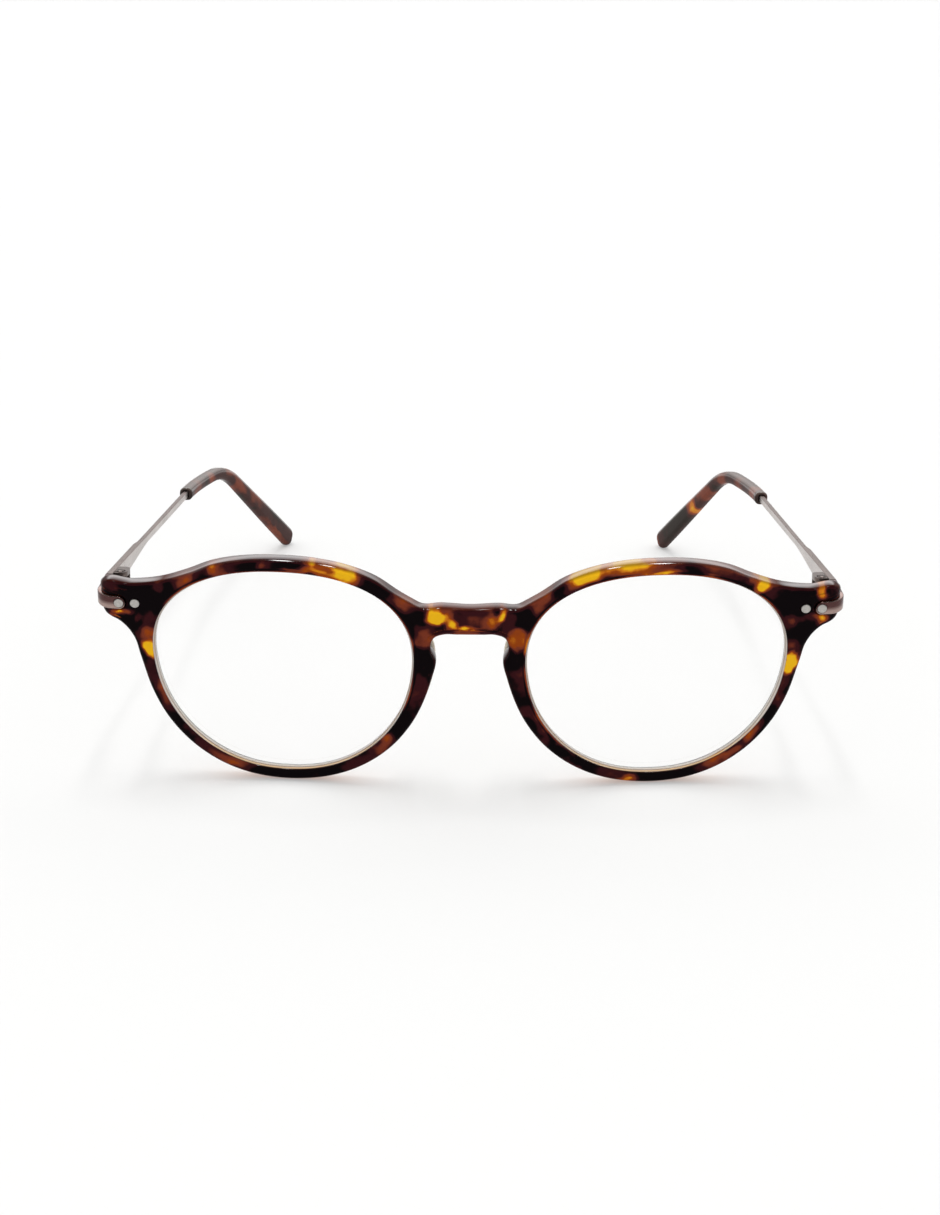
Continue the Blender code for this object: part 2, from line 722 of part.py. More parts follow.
def rivet(name, side, parent, finish, u, front):
    back = BRACKET_BACK + RIVET_PROUD + RIVET_DOME
    return pin_along_depth(name, side, parent, finish, u, rivet_profile(RIVET_DIAMETER / 2, front, back))


def rivet_cutter(name, side, parent, u):
    radius = RIVET_DIAMETER / 2 + RIVET_CLEARANCE
    profile = ((-OVERRUN, radius), (BRACKET_BACK + OVERRUN, radius))
    return pin_along_depth(name, side, parent, None, u, profile)


def hinge_bracket(side, parent, finish, hinge_matrix, front_matrix):
    """Plate behind the end piece, an arm back to the hinge and the middle knuckle."""
    name, sign = side
    depth = FRONT_THICKNESS + SEAT_GAP + BRACKET_THICKNESS / 2
    reach = -KNUCKLE_RADIUS - RUNNING_GAP
    places = [(0, reach - RUNNING_GAP, 0), (0, reach, 0), (0, -TONGUE_RADIUS / 2, 0)]
    places = hinge_to_front(places, hinge_matrix, front_matrix)
    near = on_front(HINGE_U, depth + BRACKET_CORNER, STRIP_V)
    half, thin = BRACKET_HEIGHT / 2, TONGUE_HEIGHT / 2
    back = [(near, half), ((near + places[0]) / 2, half), (places[0], half)]
    back += [(places[1], thin), (places[2], thin)]
    up = hinge_up(hinge_matrix, front_matrix)
    arm = bent_strip(INNER_RIVET_U - BRACKET_OVERHANG, depth, HINGE_U, BRACKET_CORNER, half,
                     BRACKET_THICKNESS, back, up)
    bracket = solid(f"{name}_hinge_bracket", *arm, parent, finish, sign)
    knuckle_points, knuckle_faces = prism(circle(TONGUE_RADIUS, 24), -thin, thin)
    knuckle_points = hinge_to_front(knuckle_points, hinge_matrix, front_matrix)
    knuckle = solid(f"{name}_knuckle_guide", knuckle_points, knuckle_faces, parent, side=sign)
    boolean(bracket, knuckle, "UNION")
    bore_points, bore_faces = prism(circle(SCREW_DIAMETER / 2 + SCREW_CLEARANCE, 16),
                                    -thin - OVERRUN, thin + OVERRUN)
    bore_points = hinge_to_front(bore_points, hinge_matrix, front_matrix)
    boolean(bracket, solid(f"{name}_tongue_bore_cutter", bore_points, bore_faces, parent, side=sign))
    for label, u in (("outer", OUTER_RIVET_U), ("inner", INNER_RIVET_U)):
        boolean(bracket, rivet_cutter(f"{name}_{label}_bracket_hole_cutter", sign, parent, u))
    return bracket


def fork_plan():
    """Plan of the brazed block: round about the pivot, with a soft inner rear corner."""
    inner = TEMPLE_INNER - BRAZE_GAP
    plan = [(inner, -KNUCKLE_RADIUS)]
    for k in range(FORK_TURN_STEPS + 1):
        angle = -math.pi / 2 - math.pi / 2 * k / FORK_TURN_STEPS
        plan.append((KNUCKLE_RADIUS * math.cos(angle), KNUCKLE_RADIUS * math.sin(angle)))
    corner = KNUCKLE_RADIUS * FORK_CORNER_SHARE
    for k in range(FORK_CORNER_STEPS + 1):
        angle = math.pi - math.pi / 2 * k / FORK_CORNER_STEPS
        plan.append((-KNUCKLE_RADIUS + corner + corner * math.cos(angle),
                     FORK_LENGTH - corner + corner * math.sin(angle)))
    plan.append((inner, FORK_LENGTH))
    return plan


def tongue_slot(side, parent):
    """Cutter for the slot that the bracket's tongue turns in, open to the front and inwards."""
    name, sign = side
    half = TONGUE_HEIGHT / 2 + RUNNING_GAP
    start = -TEMPLE_LEAD - OVERRUN
    reach = TONGUE_RADIUS + RUNNING_GAP
    plan = [(start, start), (reach, start), (reach, reach), (start, reach)]
    return solid(f"{name}_slot_cutter", *prism(plan, -half, half), parent, side=sign)


def hinge_fork(side, parent, finish, slot_cutter):
    """Two knuckles with a slot between them for the bracket's tongue."""
    name, sign = side
    half = HINGE_HEIGHT / 2
    block = solid(f"{name}_hinge_fork", *prism(fork_plan(), -half, half), parent, finish, sign)
    boolean(block, slot_cutter)
    bore = circle(SCREW_DIAMETER / 2 + SCREW_CLEARANCE, 16)
    bore = prism(bore, -half - OVERRUN, half + OVERRUN)
    boolean(block, solid(f"{name}_fork_bore_cutter", *bore, parent, side=sign))
    sink = circle(SCREW_HEAD_DIAMETER / 2 + SCREW_CLEARANCE, 20)
    floor = half + SCREW_HEAD_PROUD - SCREW_HEAD_HEIGHT - SCREW_CLEARANCE
    boolean(block, solid(f"{name}_screw_seat_cutter", *prism(sink, floor, half + OVERRUN),
                         parent, side=sign))
    return block


def hinge_screw(side, parent, finish):
    """Slotted pivot screw with a flat head, let into the top of the fork."""
    name, sign = side
    top = HINGE_HEIGHT / 2 + SCREW_HEAD_PROUD
    under = top - SCREW_HEAD_HEIGHT
    end = -HINGE_HEIGHT / 2 - SCREW_TIP_PROUD
    shank, head = SCREW_DIAMETER / 2, SCREW_HEAD_DIAMETER / 2
    rings = []
    profile = (
        (end, shank * SCREW_POINT_SHARE),
        (end + SCREW_TIP_PROUD / 2, shank),
        (under, shank),
        (under, head),
        (top - SCREW_HEAD_HEIGHT / 4, head),
        (top, head * SCREW_HEAD_TOP_SHARE),
    )
    for height, radius in profile:
        ring = circle(radius, 20)
        rings.append(np.column_stack([ring, np.full(len(ring), height)]))
    screw = solid(f"{name}_hinge_screw", *loft(rings), parent, finish, sign)
    half_slot = SCREW_SLOT_WIDTH / 2
    plan = [(-head - OVERRUN, -half_slot), (head + OVERRUN, -half_slot),
            (head + OVERRUN, half_slot), (-head - OVERRUN, half_slot)]
    slot = prism(plan, top - SCREW_SLOT_DEPTH, top + OVERRUN)
    boolean(screw, solid(f"{name}_screw_slot_cutter", *slot, parent, side=sign))
    return screw


def temple_path(along):
    """Centre line of the bar and tip in the hinge frame, by distance from the pivot.

    Seen from the side and from above it is straight, then an arc, then straight again.
    """
    along = np.asarray(along, dtype=float)
    turned = np.clip((along - BEND_START) / BEND_RADIUS, 0, BEND)
    past = np.clip(along - BEND_START - BEND_RADIUS * BEND, 0, None)
    y = np.minimum(along, BEND_START) + BEND_RADIUS * np.sin(turned) + past * math.cos(BEND)
    z = BAR_Z - BEND_RADIUS * (1 - np.cos(turned)) - past * math.sin(BEND)
    toed = np.clip((along - TOE_START) / TOE_RADIUS, 0, TOE)
    beyond = np.clip(along - TOE_START - TOE_RADIUS * TOE, 0, None)
    x = BAR_X - TOE_RADIUS * (1 - np.cos(toed)) - beyond * math.sin(TOE)
    return np.stack([x, y, z], axis=-1)


def path_frames(along):
    """Centres and the directions across and up at each distance along the temple."""
    nudge = BAR_THICKNESS / 10
    along = np.asarray(along, dtype=float)
    centres = temple_path(along)
    tangents = temple_path(along + nudge) - temple_path(along - nudge)
    tangents /= np.linalg.norm(tangents, axis=1, keepdims=True)
    across = np.cross(tangents, (0, 0, 1))
    across /= np.linalg.norm(across, axis=1, keepdims=True)
    return centres, across, np.cross(across, tangents)


def temple(side, parent, finish, slot_cutter):
    """Flat front part with a tapering lower edge and a step outside, then the bar and core wire."""
    name, sign = side
    rings = []
    stops = [TEMPLE_FRONT, TAPER_START, TEMPLE_STEP_START, TEMPLE_STEP_START + TEMPLE_STEP_LENGTH,
             TAPER_START + TAPER_LENGTH]
    for y in sorted(stops):
        tapered = min(max((y - TAPER_START) / TAPER_LENGTH, 0), 1)
        stepped = min(max((y - TEMPLE_STEP_START) / TEMPLE_STEP_LENGTH, 0), 1)
        height = HINGE_HEIGHT + (BAR_HEIGHT - HINGE_HEIGHT) * tapered
        outer = TEMPLE_OUTER - TEMPLE_STEP * stepped
        bar_inner = TEMPLE_OUTER - TEMPLE_STEP - BAR_THICKNESS
        inner = TEMPLE_INNER + (bar_inner - TEMPLE_INNER) * tapered
        section = rounded_rectangle((outer - inner) / 2, height / 2, BAR_EDGE, 1)
        ring = np.column_stack([section[:, 0] + (outer + inner) / 2, np.full(len(section), y),
                                section[:, 1] + TEMPLE_TOP - height / 2])
        rings.append(ring)
    spacing = np.linspace(TOE_START, CORE_END, 26)
    centres, across, up = path_frames(spacing)
    section = rounded_rectangle(BAR_THICKNESS / 2, BAR_HEIGHT / 2, BAR_EDGE, 1)
    for centre, side_way, up_way in zip(centres, across, up):
        rings.append(centre + section[:, :1] * side_way + section[:, 1:] * up_way)
    strip = solid(f"{name}_temple", *loft(rings), parent, finish, sign)
    boolean(strip, slot_cutter)
    return strip


def tip_points():
    """Rings of the acetate tip, growing towards a round end."""
    straight = np.arange(TIP_START, TEMPLE_LENGTH - TIP_END_HEIGHT / 2, TIP_STEP)
    end_radius = TIP_END_HEIGHT / 2
    ends = [TEMPLE_LENGTH - end_radius + end_radius * share for share in TIP_ROUND_SHARES]
    along = np.array([TIP_START, TIP_START + TIP_EDGE / 2] + list(straight[1:]) + ends)
    centres, across, up = path_frames(along)
    rings = []
    for centre, side_way, up_way, place in zip(centres, across, up, along):
        grown = min(max((place - BEND_START) / (TEMPLE_LENGTH - end_radius - BEND_START), 0), 1)
        height = TIP_FRONT_HEIGHT + (TIP_END_HEIGHT - TIP_FRONT_HEIGHT) * grown
        thickness = TIP_FRONT_THICKNESS + (TIP_END_THICKNESS - TIP_FRONT_THICKNESS) * grown
        past = max(place - (TEMPLE_LENGTH - end_radius), 0) / end_radius
        shrink = max(math.sqrt(max(1 - past ** 2, 0)), TIP_END_HEIGHT_SHARE)
        thin = max(math.sqrt(max(1 - past ** 4, 0)), TIP_END_THICKNESS_SHARE)
        ease = TIP_MOUTH_SHARE if place == TIP_START else 1
        section = rounded_rectangle(thickness / 2 * thin * ease, height / 2 * shrink * ease, TIP_EDGE)
        rings.append(centre + section[:, :1] * side_way + section[:, 1:] * up_way)
    return loft(rings)


def temple_tip(side, parent, finish):
    name, sign = side
    tip = solid(f"{name}_temple_tip", *tip_points(), parent, finish, sign)
    along = np.append(TIP_START - OVERRUN, np.linspace(TIP_START, CORE_END + SEAT_GAP, 18))
    centres, across, up = path_frames(along)
    section = rounded_rectangle(BAR_THICKNESS / 2 + CORE_CLEARANCE, BAR_HEIGHT / 2 + CORE_CLEARANCE,
                                BAR_EDGE, 1)
    rings = [centre + section[:, :1] * side_way + section[:, 1:] * up_way
             for centre, side_way, up_way in zip(centres, across, up)]
    boolean(tip, solid(f"{name}_core_bore_cutter", *loft(rings), parent, side=sign))
    return tip


def standing_height(points, tilt):
    """How far the tilted front must be lifted for its lowest point to touch the table."""
    heights = points[:, 2] * math.cos(tilt) + points[:, 1] * math.sin(tilt)
    return -heights.min()


def settling_pitch(points, height):
    """How far a temple hinged at this height swings down before its tip touches the table."""
    y, z = points[:, 1], points[:, 2]
    reach = np.hypot(y, z)
    far = reach > height
    return float(np.min(np.arcsin(height / reach[far]) - np.arctan2(-z[far], y[far])))


def build():
    clear_scene()
    acetate = material("tortoise acetate", (0.12, 0.035, 0.012), 0.12)
    clear = material("clear lens", (0.95, 0.97, 0.97), 0.03, alpha=0.25)
    cream = material("clear nose pad", (0.86, 0.8, 0.68), 0.2, alpha=0.7)
    bronze = material("bronze metal", (0.3, 0.24, 0.21), 0.35, 1.0)
    silver = material("silver metal", (0.6, 0.59, 0.57), 0.35, 1.0)

    front_pose = empty("front_pose", rotation=(FRONT_TILT, 0, 0))
    frame = front_frame(front_pose, acetate)
    front_points = np.array([vertex.co for vertex in frame.data.vertices])
    lift = standing_height(front_points, FRONT_TILT)
    front_matrix = Matrix.Translation((0, 0, lift)) @ Matrix.Rotation(FRONT_TILT, 4, "X")

    pivot_depth = on_front(HINGE_U, FRONT_THICKNESS, 0)[1] + HINGE_SETBACK
    pivot = front_matrix @ Vector((HINGE_U, pivot_depth, HINGE_V))
    pitch = settling_pitch(tip_points()[0], pivot.z)
    left_pose = (Matrix.Translation(pivot) @ Matrix.Rotation(TEMPLE_SPREAD, 4, "Z")
                 @ Matrix.Rotation(-pitch, 4, "X"))

    nearest = moved(front_points, front_matrix)[:, 1].min()
    farthest = moved(tip_points()[0], left_pose)[:, 1].max()
    centring = Matrix.Translation((0, -(nearest + farthest) / 2, 0))
    front_matrix = centring @ front_matrix
    left_pose = centring @ left_pose
    pivot = left_pose.to_translation()
    front_pose.location = front_matrix.to_translation()

    for name, sign in SIDES:
        side = (name, sign)
        boolean(frame, strip_pocket(side, front_pose, left_pose, front_matrix))
        lens(f"{name}_lens", sign, front_pose, clear)
        nose_pad(f"{name}_nose_pad", sign, front_pose, cream)
        end_strip(f"{name}_end_strip", sign, front_pose, bronze, left_pose, front_matrix)
        for label, u, front in (("outer", OUTER_RIVET_U, -STRIP_PROUD - RIVET_PROUD),
                                ("inner", INNER_RIVET_U, -RIVET_PROUD)):
            boolean(frame, rivet_cutter(f"{name}_{label}_hole_cutter", sign, front_pose, u))
            rivet(f"{name}_{label}_rivet", sign, front_pose, silver, u, front)
        strip = bpy.data.objects[f"{name}_end_strip"]
        boolean(strip, bpy.data.objects[f"{name}_outer_hole_cutter"])
        hinge_bracket(side, front_pose, bronze, left_pose, front_matrix)
        place = (pivot.x * sign, pivot.y, pivot.z)
        hinge_pose = empty(f"{name}_hinge_axis", place, (-pitch, 0, TEMPLE_SPREAD * sign))
        slot = tongue_slot(side, hinge_pose)
        hinge_fork(side, hinge_pose, bronze, slot)
        hinge_screw(side, hinge_pose, silver)
        temple(side, hinge_pose, bronze, slot)
        temple_tip(side, hinge_pose, acetate)


build()
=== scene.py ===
"""Looks of the round panto reading glasses.

Tortoise acetate front and tips, clear lenses and satin metal temples. Every surface is worked out in
metres in the part's own frame: +Z up, the front faces -Y, the wearer's left is +X. The front's own
coordinates are u across, v up and a depth behind the curved front face.
"""

import json
import math

import bmesh
import bpy
import numpy as np
from bpy.props import FloatProperty, FloatVectorProperty, PointerProperty
from bpy.types import Operator, Panel, PropertyGroup
from mathutils import Matrix, Vector


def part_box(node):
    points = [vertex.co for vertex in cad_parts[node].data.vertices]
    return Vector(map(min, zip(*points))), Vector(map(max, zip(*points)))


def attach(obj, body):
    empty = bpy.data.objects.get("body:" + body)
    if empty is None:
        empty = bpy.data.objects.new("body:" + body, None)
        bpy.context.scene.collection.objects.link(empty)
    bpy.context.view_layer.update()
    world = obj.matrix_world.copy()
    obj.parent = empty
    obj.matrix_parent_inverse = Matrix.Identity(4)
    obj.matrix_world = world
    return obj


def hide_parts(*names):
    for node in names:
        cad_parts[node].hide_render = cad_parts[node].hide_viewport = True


bl_info = {
    "name": "Panto reading glasses",
    "version": (1, 0, 0),
    "blender": (4, 5, 0),
    "location": "3D View > Sidebar > Glasses",
    "description": "Builds the visible surfaces of a pair of round reading glasses",
    "category": "Object",
}

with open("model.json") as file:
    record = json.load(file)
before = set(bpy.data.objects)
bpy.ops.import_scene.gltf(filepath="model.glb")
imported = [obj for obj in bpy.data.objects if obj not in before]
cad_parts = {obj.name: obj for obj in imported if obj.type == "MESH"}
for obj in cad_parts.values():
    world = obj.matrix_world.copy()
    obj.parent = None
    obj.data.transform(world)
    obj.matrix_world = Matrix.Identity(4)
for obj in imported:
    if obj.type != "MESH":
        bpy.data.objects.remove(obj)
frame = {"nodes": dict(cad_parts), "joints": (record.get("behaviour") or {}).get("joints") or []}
JOINTS = {joint["name"]: joint for joint in frame["joints"]}
SIDES = (("left", 1), ("right", -1))
MILLIMETRE = 0.001
QUARTER = math.pi / 2
FRONT_LEAN = math.radians(7.14)

# Knots of the front's outline: shares of the end piece and of the brow, and the lens angles that they face
END_SWEEP_SHARES = (
    (0.09, -1.18), (0.215, -0.63), (0.385, -0.33), (0.593, -0.13), (0.76, -0.045), (0.89, 0.03),
    (0.966, 0.12),
)
END_SWEEP_FIRST_DEG = 5
END_SWEEP_STEP_DEG = 3.5
BROW_SWEEP_SHARES = ((0.3, 49), (0.66, 56))
BROW_SWEEP_POWER = 1.35
BROW_DEG = 66
RIM_STEP_DEG = 12
SHOULDER_OUT_SHARE = 0.7
SHOULDER_UP_SHARE = 0.45
BRIDGE_FLAT_SHARE = 0.6

# Fineness of the surfaces: a spacing, then counts of rows, rings and places, and the innermost ring of a
# lens as a share of its outermost
OUTLINE_STEP = 0.00038
ROUNDING_STEPS = 5
MIDDLE_STATIONS = 7
BACK_ROWS = 6
FACE_ROWS = 24
LENS_STATIONS = 220
LENS_RINGS = 35
PAD_RINGS = 60
STRIP_TURN_PLACES = 14
STRIP_LEG_PLACES = 9
PIN_SIDES = 48
HOLE_SIDES = 40
TIP_PLACES = 130
BORE_PLACES = 40
CORE_PLACES = 70
LENS_INNERMOST_SHARE = 0.002

# Small allowances: welding, cuts that run past a face, and softened edges
WELD = 0.000001
ON_MIDDLE = 0.0000001
CUT_OVERRUN = 0.001
POCKET_OUTWARD = 0.0004
HOLE_DEPTH = 0.0012
STRIP_HOLE_SHARE = 0.6
HINGE_WELD = 0.000002
HINGE_SOFT_EDGE = 0.00008
TEMPLE_END_EDGE = 0.0001
TEMPLE_FINE_SPAN = (-0.002, 0.03)
RIVET_TAIL = 0.0002
RIVET_DOME_SHARE = 0.16
RIVET_EDGE_SHARE = 0.12
TIP_LIP = 0.00045

# Section and closing of a nose pad, in shares of its width and depth
PAD_SECTION_SHARES = ((0, 0), (1, 0), (0.94, 0.4), (0.72, 0.82), (0.42, 1), (0.14, 0.88), (0, 0.5))
PAD_END_ANGLE = 0.08
PAD_SWELL_POWER = 0.35


def size(name, default, description):
    return FloatProperty(name=name, default=default, description=description, min=0.0,
                         subtype="DISTANCE", unit="LENGTH", precision=5)


def turn(name, degrees, description):
    return FloatProperty(name=name, default=math.radians(degrees), description=description,
                         subtype="ANGLE", unit="ROTATION")


def factor(name, default, description):
    return FloatProperty(name=name, default=default, description=description, min=0.0, max=4.0,
                         subtype="FACTOR")


def colour(name, default, description):
    return FloatVectorProperty(name=name, default=default, description=description, size=3,
                               min=0.0, max=1.0, subtype="COLOR")


class FrontSizes(PropertyGroup):
    """Sizes of the acetate front and what lies in it."""
    lens_width: size("Lens width", 0.04755, "Width of the lens opening")
    lens_height: size("Lens height", 0.0416, "Height of the lens opening")
    lens_squareness: factor("Lens squareness", 2.23, "Power of the superellipse of the opening")
    lens_widening: factor("Lens widening", 0.122, "How much wider the opening is at the brow")
    bridge_gap: size("Bridge gap", 0.0211, "Distance between the two openings")
    rim_top: size("Rim top", 0.0022, "Width of the rim at the brow")
    rim_bottom: size("Rim bottom", 0.00245, "Width of the rim at the bottom")
    rim_temple_side: size("Rim temple side", 0.0023, "Width of the rim beside the temple")
    rim_nose_side: size("Rim nose side", 0.0031, "Width of the rim beside the nose")
    thickness: size("Thickness", 0.0034, "Thickness of the front")
    sag: size("Sag", 0.00517, "How far the ends of the front lie behind its middle")
    edge_rounding: size("Edge rounding", 0.0006, "Radius of the outer edges at the back")
    front_rounding: size("Front rounding", 0.00115, "Radius of the outer edges in front")
    inner_rounding: size("Inner rounding", 0.0003, "Radius of the edges at the lens opening")
    bridge_rise: size("Bridge rise", 0.01425, "Top of the bridge above the middle of the lenses")
    bridge_height: size("Bridge height", 0.00575, "Height of the bridge")
    shoulder_reach: size("Shoulder reach", 0.0088, "Half width of the bridge at its shoulders")
    bridge_dip: size("Bridge dip", 0.00027, "How far the bridge's top dips in the middle")
    crown_flat: size("Crown flat", 0.0048, "Half width of the flat crown of the keyhole")
    crown_corner: size("Crown corner", 0.0022, "Radius of the keyhole's upper corners")
    crown_bevel: size("Crown bevel", 0.0017, "Rounding of the bridge's lower front edge")
    keyhole_width: size("Keyhole width", 0.0142, "Widest part of the keyhole")
    nub_gap: size("Nub gap", 0.0123, "Distance between the nubs of the nasal rims")
    nub_drop: size("Nub drop", 0.0052, "Nubs below the keyhole's crown")
    nose_flare: size("Nose flare", 0.0009, "How far the nasal rim draws back below the nub")
    nose_flare_drop: size("Nose flare drop", 0.0044, "Where it draws back, below the nub")
    end_rise: size("End piece rise", 0.01655, "Top of the end piece above the middle of the lenses")
    end_length: size("End piece length", 0.00735, "Length of the end piece past the rim")
    end_depth: size("End piece height", 0.0068, "Height of the end piece")
    end_corner: size("End corner", 0.0009, "Corner of the end piece")
    end_turn_radius: size("End turn", 0.0024, "Radius at which the front turns back at the end piece")
    groove_depth: size("Groove depth", 0.0009, "Depth of the lens groove")
    groove_width: size("Groove width", 0.0016, "Width of the lens groove")
    lens_edge: size("Lens edge", 0.0019, "Thickness of the lens at its edge")
    lens_bevel: size("Lens bevel", 0.0006, "Height of the lens's bevel")
    lens_line: size("Lens line", 0.0002, "Width of the grey line round the front of the lens")
    lens_back_line: size("Lens back line", 0.00055, "Width of the grey line round the back of the lens")
    lens_clearance: size("Lens clearance", 0.00025, "Gap between the lens and its opening")
    lens_bulge: size("Lens bulge", 0.0026, "Bulge of the lens's front")
    lens_hollow: size("Lens hollow", 0.0016, "Hollow of the lens's back")
    pad_length: size("Pad length", 0.0165, "Length of a nose pad")
    pad_top_drop: size("Pad top drop", 0.0002, "Top of the pad below the keyhole's corner")
    pad_top_reach: size("Pad top reach", 0.0044, "Width of the pad at its top")
    pad_low_reach: size("Pad low reach", 0.0029, "Width of the pad at its bottom")
    pad_inset: size("Pad inset", 0.0007, "Pad's distance from the lens opening")
    pad_depth: size("Pad depth", 0.0042, "How far the pad stands behind the front")
    seat_gap: size("Seat gap", 0.0002, "Gap between cemented or seated pieces")


class MetalSizes(PropertyGroup):
    """Sizes of the strips, rivets and temples."""
    strip_height: size("Strip height", 0.0026, "Height of the strip on the front")
    strip_thickness: size("Strip thickness", 0.0009, "Thickness of the strip")
    strip_proud: size("Strip proud", 0.00035, "How far the strip stands out of the front")
    strip_side_proud: size("Strip side proud", 0.00075, "How far it stands out of the end piece's side")
    strip_length: size("Strip length", 0.00485, "Length of the strip's leg on the front")
    strip_drop: size("Strip drop", 0.0037, "Strip's middle below the end piece's top")
    strip_corner: size("Strip corner", 0.0026, "Radius of the strip's corner")
    strip_edge: size("Strip edge", 0.00025, "Rounding of the strip's edges")
    pocket_clearance: size("Pocket clearance", 0.00025, "Gap round the strip in its pocket")
    rivet_diameter: size("Rivet diameter", 0.00175, "Diameter of a rivet head")
    rivet_spacing: size("Rivet spacing", 0.00295, "Distance between the two rivets")
    rivet_inset: size("Rivet inset", 0.0012, "Outer rivet from the strip's round end")
    rivet_proud: size("Rivet proud", 0.00015, "How far a rivet stands out")
    rivet_clearance: size("Rivet clearance", 0.00015, "Gap round a rivet")
    bracket_thickness: size("Bracket thickness", 0.0011, "Thickness of the hinge plate")
    hinge_setback: size("Hinge setback", 0.0085, "Hinge axis behind the front's back")
    hinge_inset: size("Hinge inset", 0.0022, "Hinge axis inside the temple's outer face")
    hinge_toe_in: size("Hinge toe in", 0.00025, "Temple's outer face inside the strip's")
    hinge_height: size("Hinge height", 0.0034, "Height of the hinge and the temple there")
    hinge_drop: size("Hinge drop", 0.0015, "Hinge's middle below the strip's middle")
    tongue_height: size("Tongue height", 0.0011, "Height of the middle knuckle")
    tongue_radius: size("Tongue radius", 0.00125, "Radius of the middle knuckle")
    running_gap: size("Running gap", 0.0002, "Gap round the middle knuckle")
    joint_gap: size("Joint gap", 0.0003, "Gap between the strip and the temple")
    temple_thickness: size("Temple thickness", 0.0013, "Thickness of the temple at the hinge")
    temple_lead: size("Temple lead", 0.0023, "Temple's front end ahead of the hinge axis")
    temple_step: size("Temple step", 0.00035, "Depth of the step on the temple's outer face")
    step_start: size("Step start", 0.02, "Where the step starts behind the hinge")
    step_length: size("Step length", 0.0032, "Length of the step")
    taper_start: size("Taper start", 0.0065, "Where the lower edge starts to rise")
    taper_length: size("Taper length", 0.0215, "Length over which it rises")
    bar_height: size("Bar height", 0.0014, "Height of the thin bar")
    bar_thickness: size("Bar thickness", 0.001, "Thickness of the thin bar")
    bar_edge: size("Bar edge", 0.0002, "Rounding of the bar's edges")
    temple_length: size("Temple length", 0.1402, "Hinge to the end of the tip, along the curve")
    bend_start: size("Bend start", 0.0885, "Where the temple bends down")
    bend_radius: size("Bend radius", 0.022, "Radius of that bend")
    bend: turn("Bend", 35.0, "Angle of that bend")
    toe_start: size("Toe start", 0.068, "Where the temple curves in")
    toe_radius: size("Toe radius", 0.105, "Radius of that curve")
    toe: turn("Toe", 12.5, "Angle of that curve")
    tip_length: size("Tip length", 0.0717, "Length of the acetate tip")
    tip_front_height: size("Tip front height", 0.0028, "Height of the tip where the bar goes in")
    tip_front_thickness: size("Tip front thickness", 0.0028, "Thickness there")
    tip_end_height: size("Tip end height", 0.0047, "Height of the tip at its end")
    tip_end_thickness: size("Tip end thickness", 0.0024, "Thickness at its end")
    tip_edge: size("Tip edge", 0.00105, "Rounding of the tip's long edges")
    core_clearance: size("Core clearance", 0.0002, "Gap round the core wire")
    core_end_space: size("Core end space", 0.018, "Core wire's end before the tip's end")


class Finishes(PropertyGroup):
    """Colours of the pieces."""
    gold: colour("Gold", (0.86, 0.47, 0.012), "Clearest patches of the acetate")
    amber: colour("Amber", (0.60, 0.180, 0.012), "Amber patches")
    burnt: colour("Burnt", (0.29, 0.052, 0.006), "Orange-brown between amber and the browns")
    chestnut: colour("Chestnut", (0.185, 0.036, 0.017), "Red-brown patches")
    oxblood: colour("Oxblood", (0.036, 0.007, 0.009), "Dark red-brown ground")
    jet: colour("Jet", (0.0042, 0.0026, 0.0032), "Near black patches")
    bronze: colour("Bronze", (0.20, 0.145, 0.13), "Metal of the strips")
    gunmetal: colour("Gunmetal", (0.52, 0.475, 0.455), "Broad faces of the temples")
    edge_bronze: colour("Edge bronze", (0.22, 0.17, 0.155), "Narrow faces of the temples")
    silver: colour("Silver", (0.47, 0.45, 0.425), "Rivets")
    steel: colour("Steel", (0.15, 0.12, 0.11), "Hinge blocks and screws")
    cream: colour("Cream", (0.93, 0.86, 0.74), "Nose pads")
    frost: colour("Frost", (0.86, 0.83, 0.78), "Ground edge of the lenses")
    paper: colour("Paper", (0.49, 0.49, 0.486), "Floor")


class StageSizes(PropertyGroup):
    """The camera and the light."""
    camera_ahead: size("Camera ahead", 0.33, "Camera in front of the glasses' front")
    camera_height: size("Camera height", 0.15877, "Camera above the floor")
    camera_pitch: turn("Camera pitch", 20.62, "How far the camera looks down")
    camera_yaw: turn("Camera yaw", 0.45, "How far the camera stands to the wearer's left")
    camera_roll: turn("Camera roll", 0.30, "How far the camera leans")
    camera_lens: FloatProperty(name="Lens", default=56.76, description="Focal length", min=1.0,
                               unit="CAMERA")
    fill_light: factor("Fill light", 0.85, "Light from the front and the sides")
    back_light: factor("Back light", 2.4, "Light from the large soft source behind")
    top_light: FloatProperty(name="Top light", default=16.0, min=0.0,
                             description="Two narrow bright sources overhead")
    floor_glow: factor("Floor glow", 0.30, "Part of the floor's white that no shadow falls on")
    floor_size: size("Floor size", 8.0, "Width of the floor")


# Shape of the front

def signed_power(values, power):
    return np.sign(values) * np.abs(values) ** power


def smooth(values):
    """0 to 1 with a level start and end: three squares less two cubes."""
    values = np.clip(values, 0, 1)
    return values * values * (3 - 2 * values)


def unit(vectors):
    return vectors / np.linalg.norm(vectors, axis=-1, keepdims=True)


def lens_curve(s, clock):
    """Superellipse whose width grows with height, as points (u, v)."""
    across = signed_power(np.cos(clock), 2 / s.lens_squareness)
    up = signed_power(np.sin(clock), 2 / s.lens_squareness)
    u = s.bridge_gap / 2 + s.lens_width / 2 * (1 + across * (1 + s.lens_widening * up))
    v = s.rim_bottom + s.lens_height / 2 * (1 + up)
    return np.stack([u, v], axis=-1)


def lens_normal(s, clock):
    """Outward unit normals of the lens curve, from its slope over four degrees."""
    nudge = math.radians(2)
    tangent = lens_curve(s, clock + nudge) - lens_curve(s, clock - nudge)
    return unit(np.stack([tangent[..., 1], -tangent[..., 0]], axis=-1))


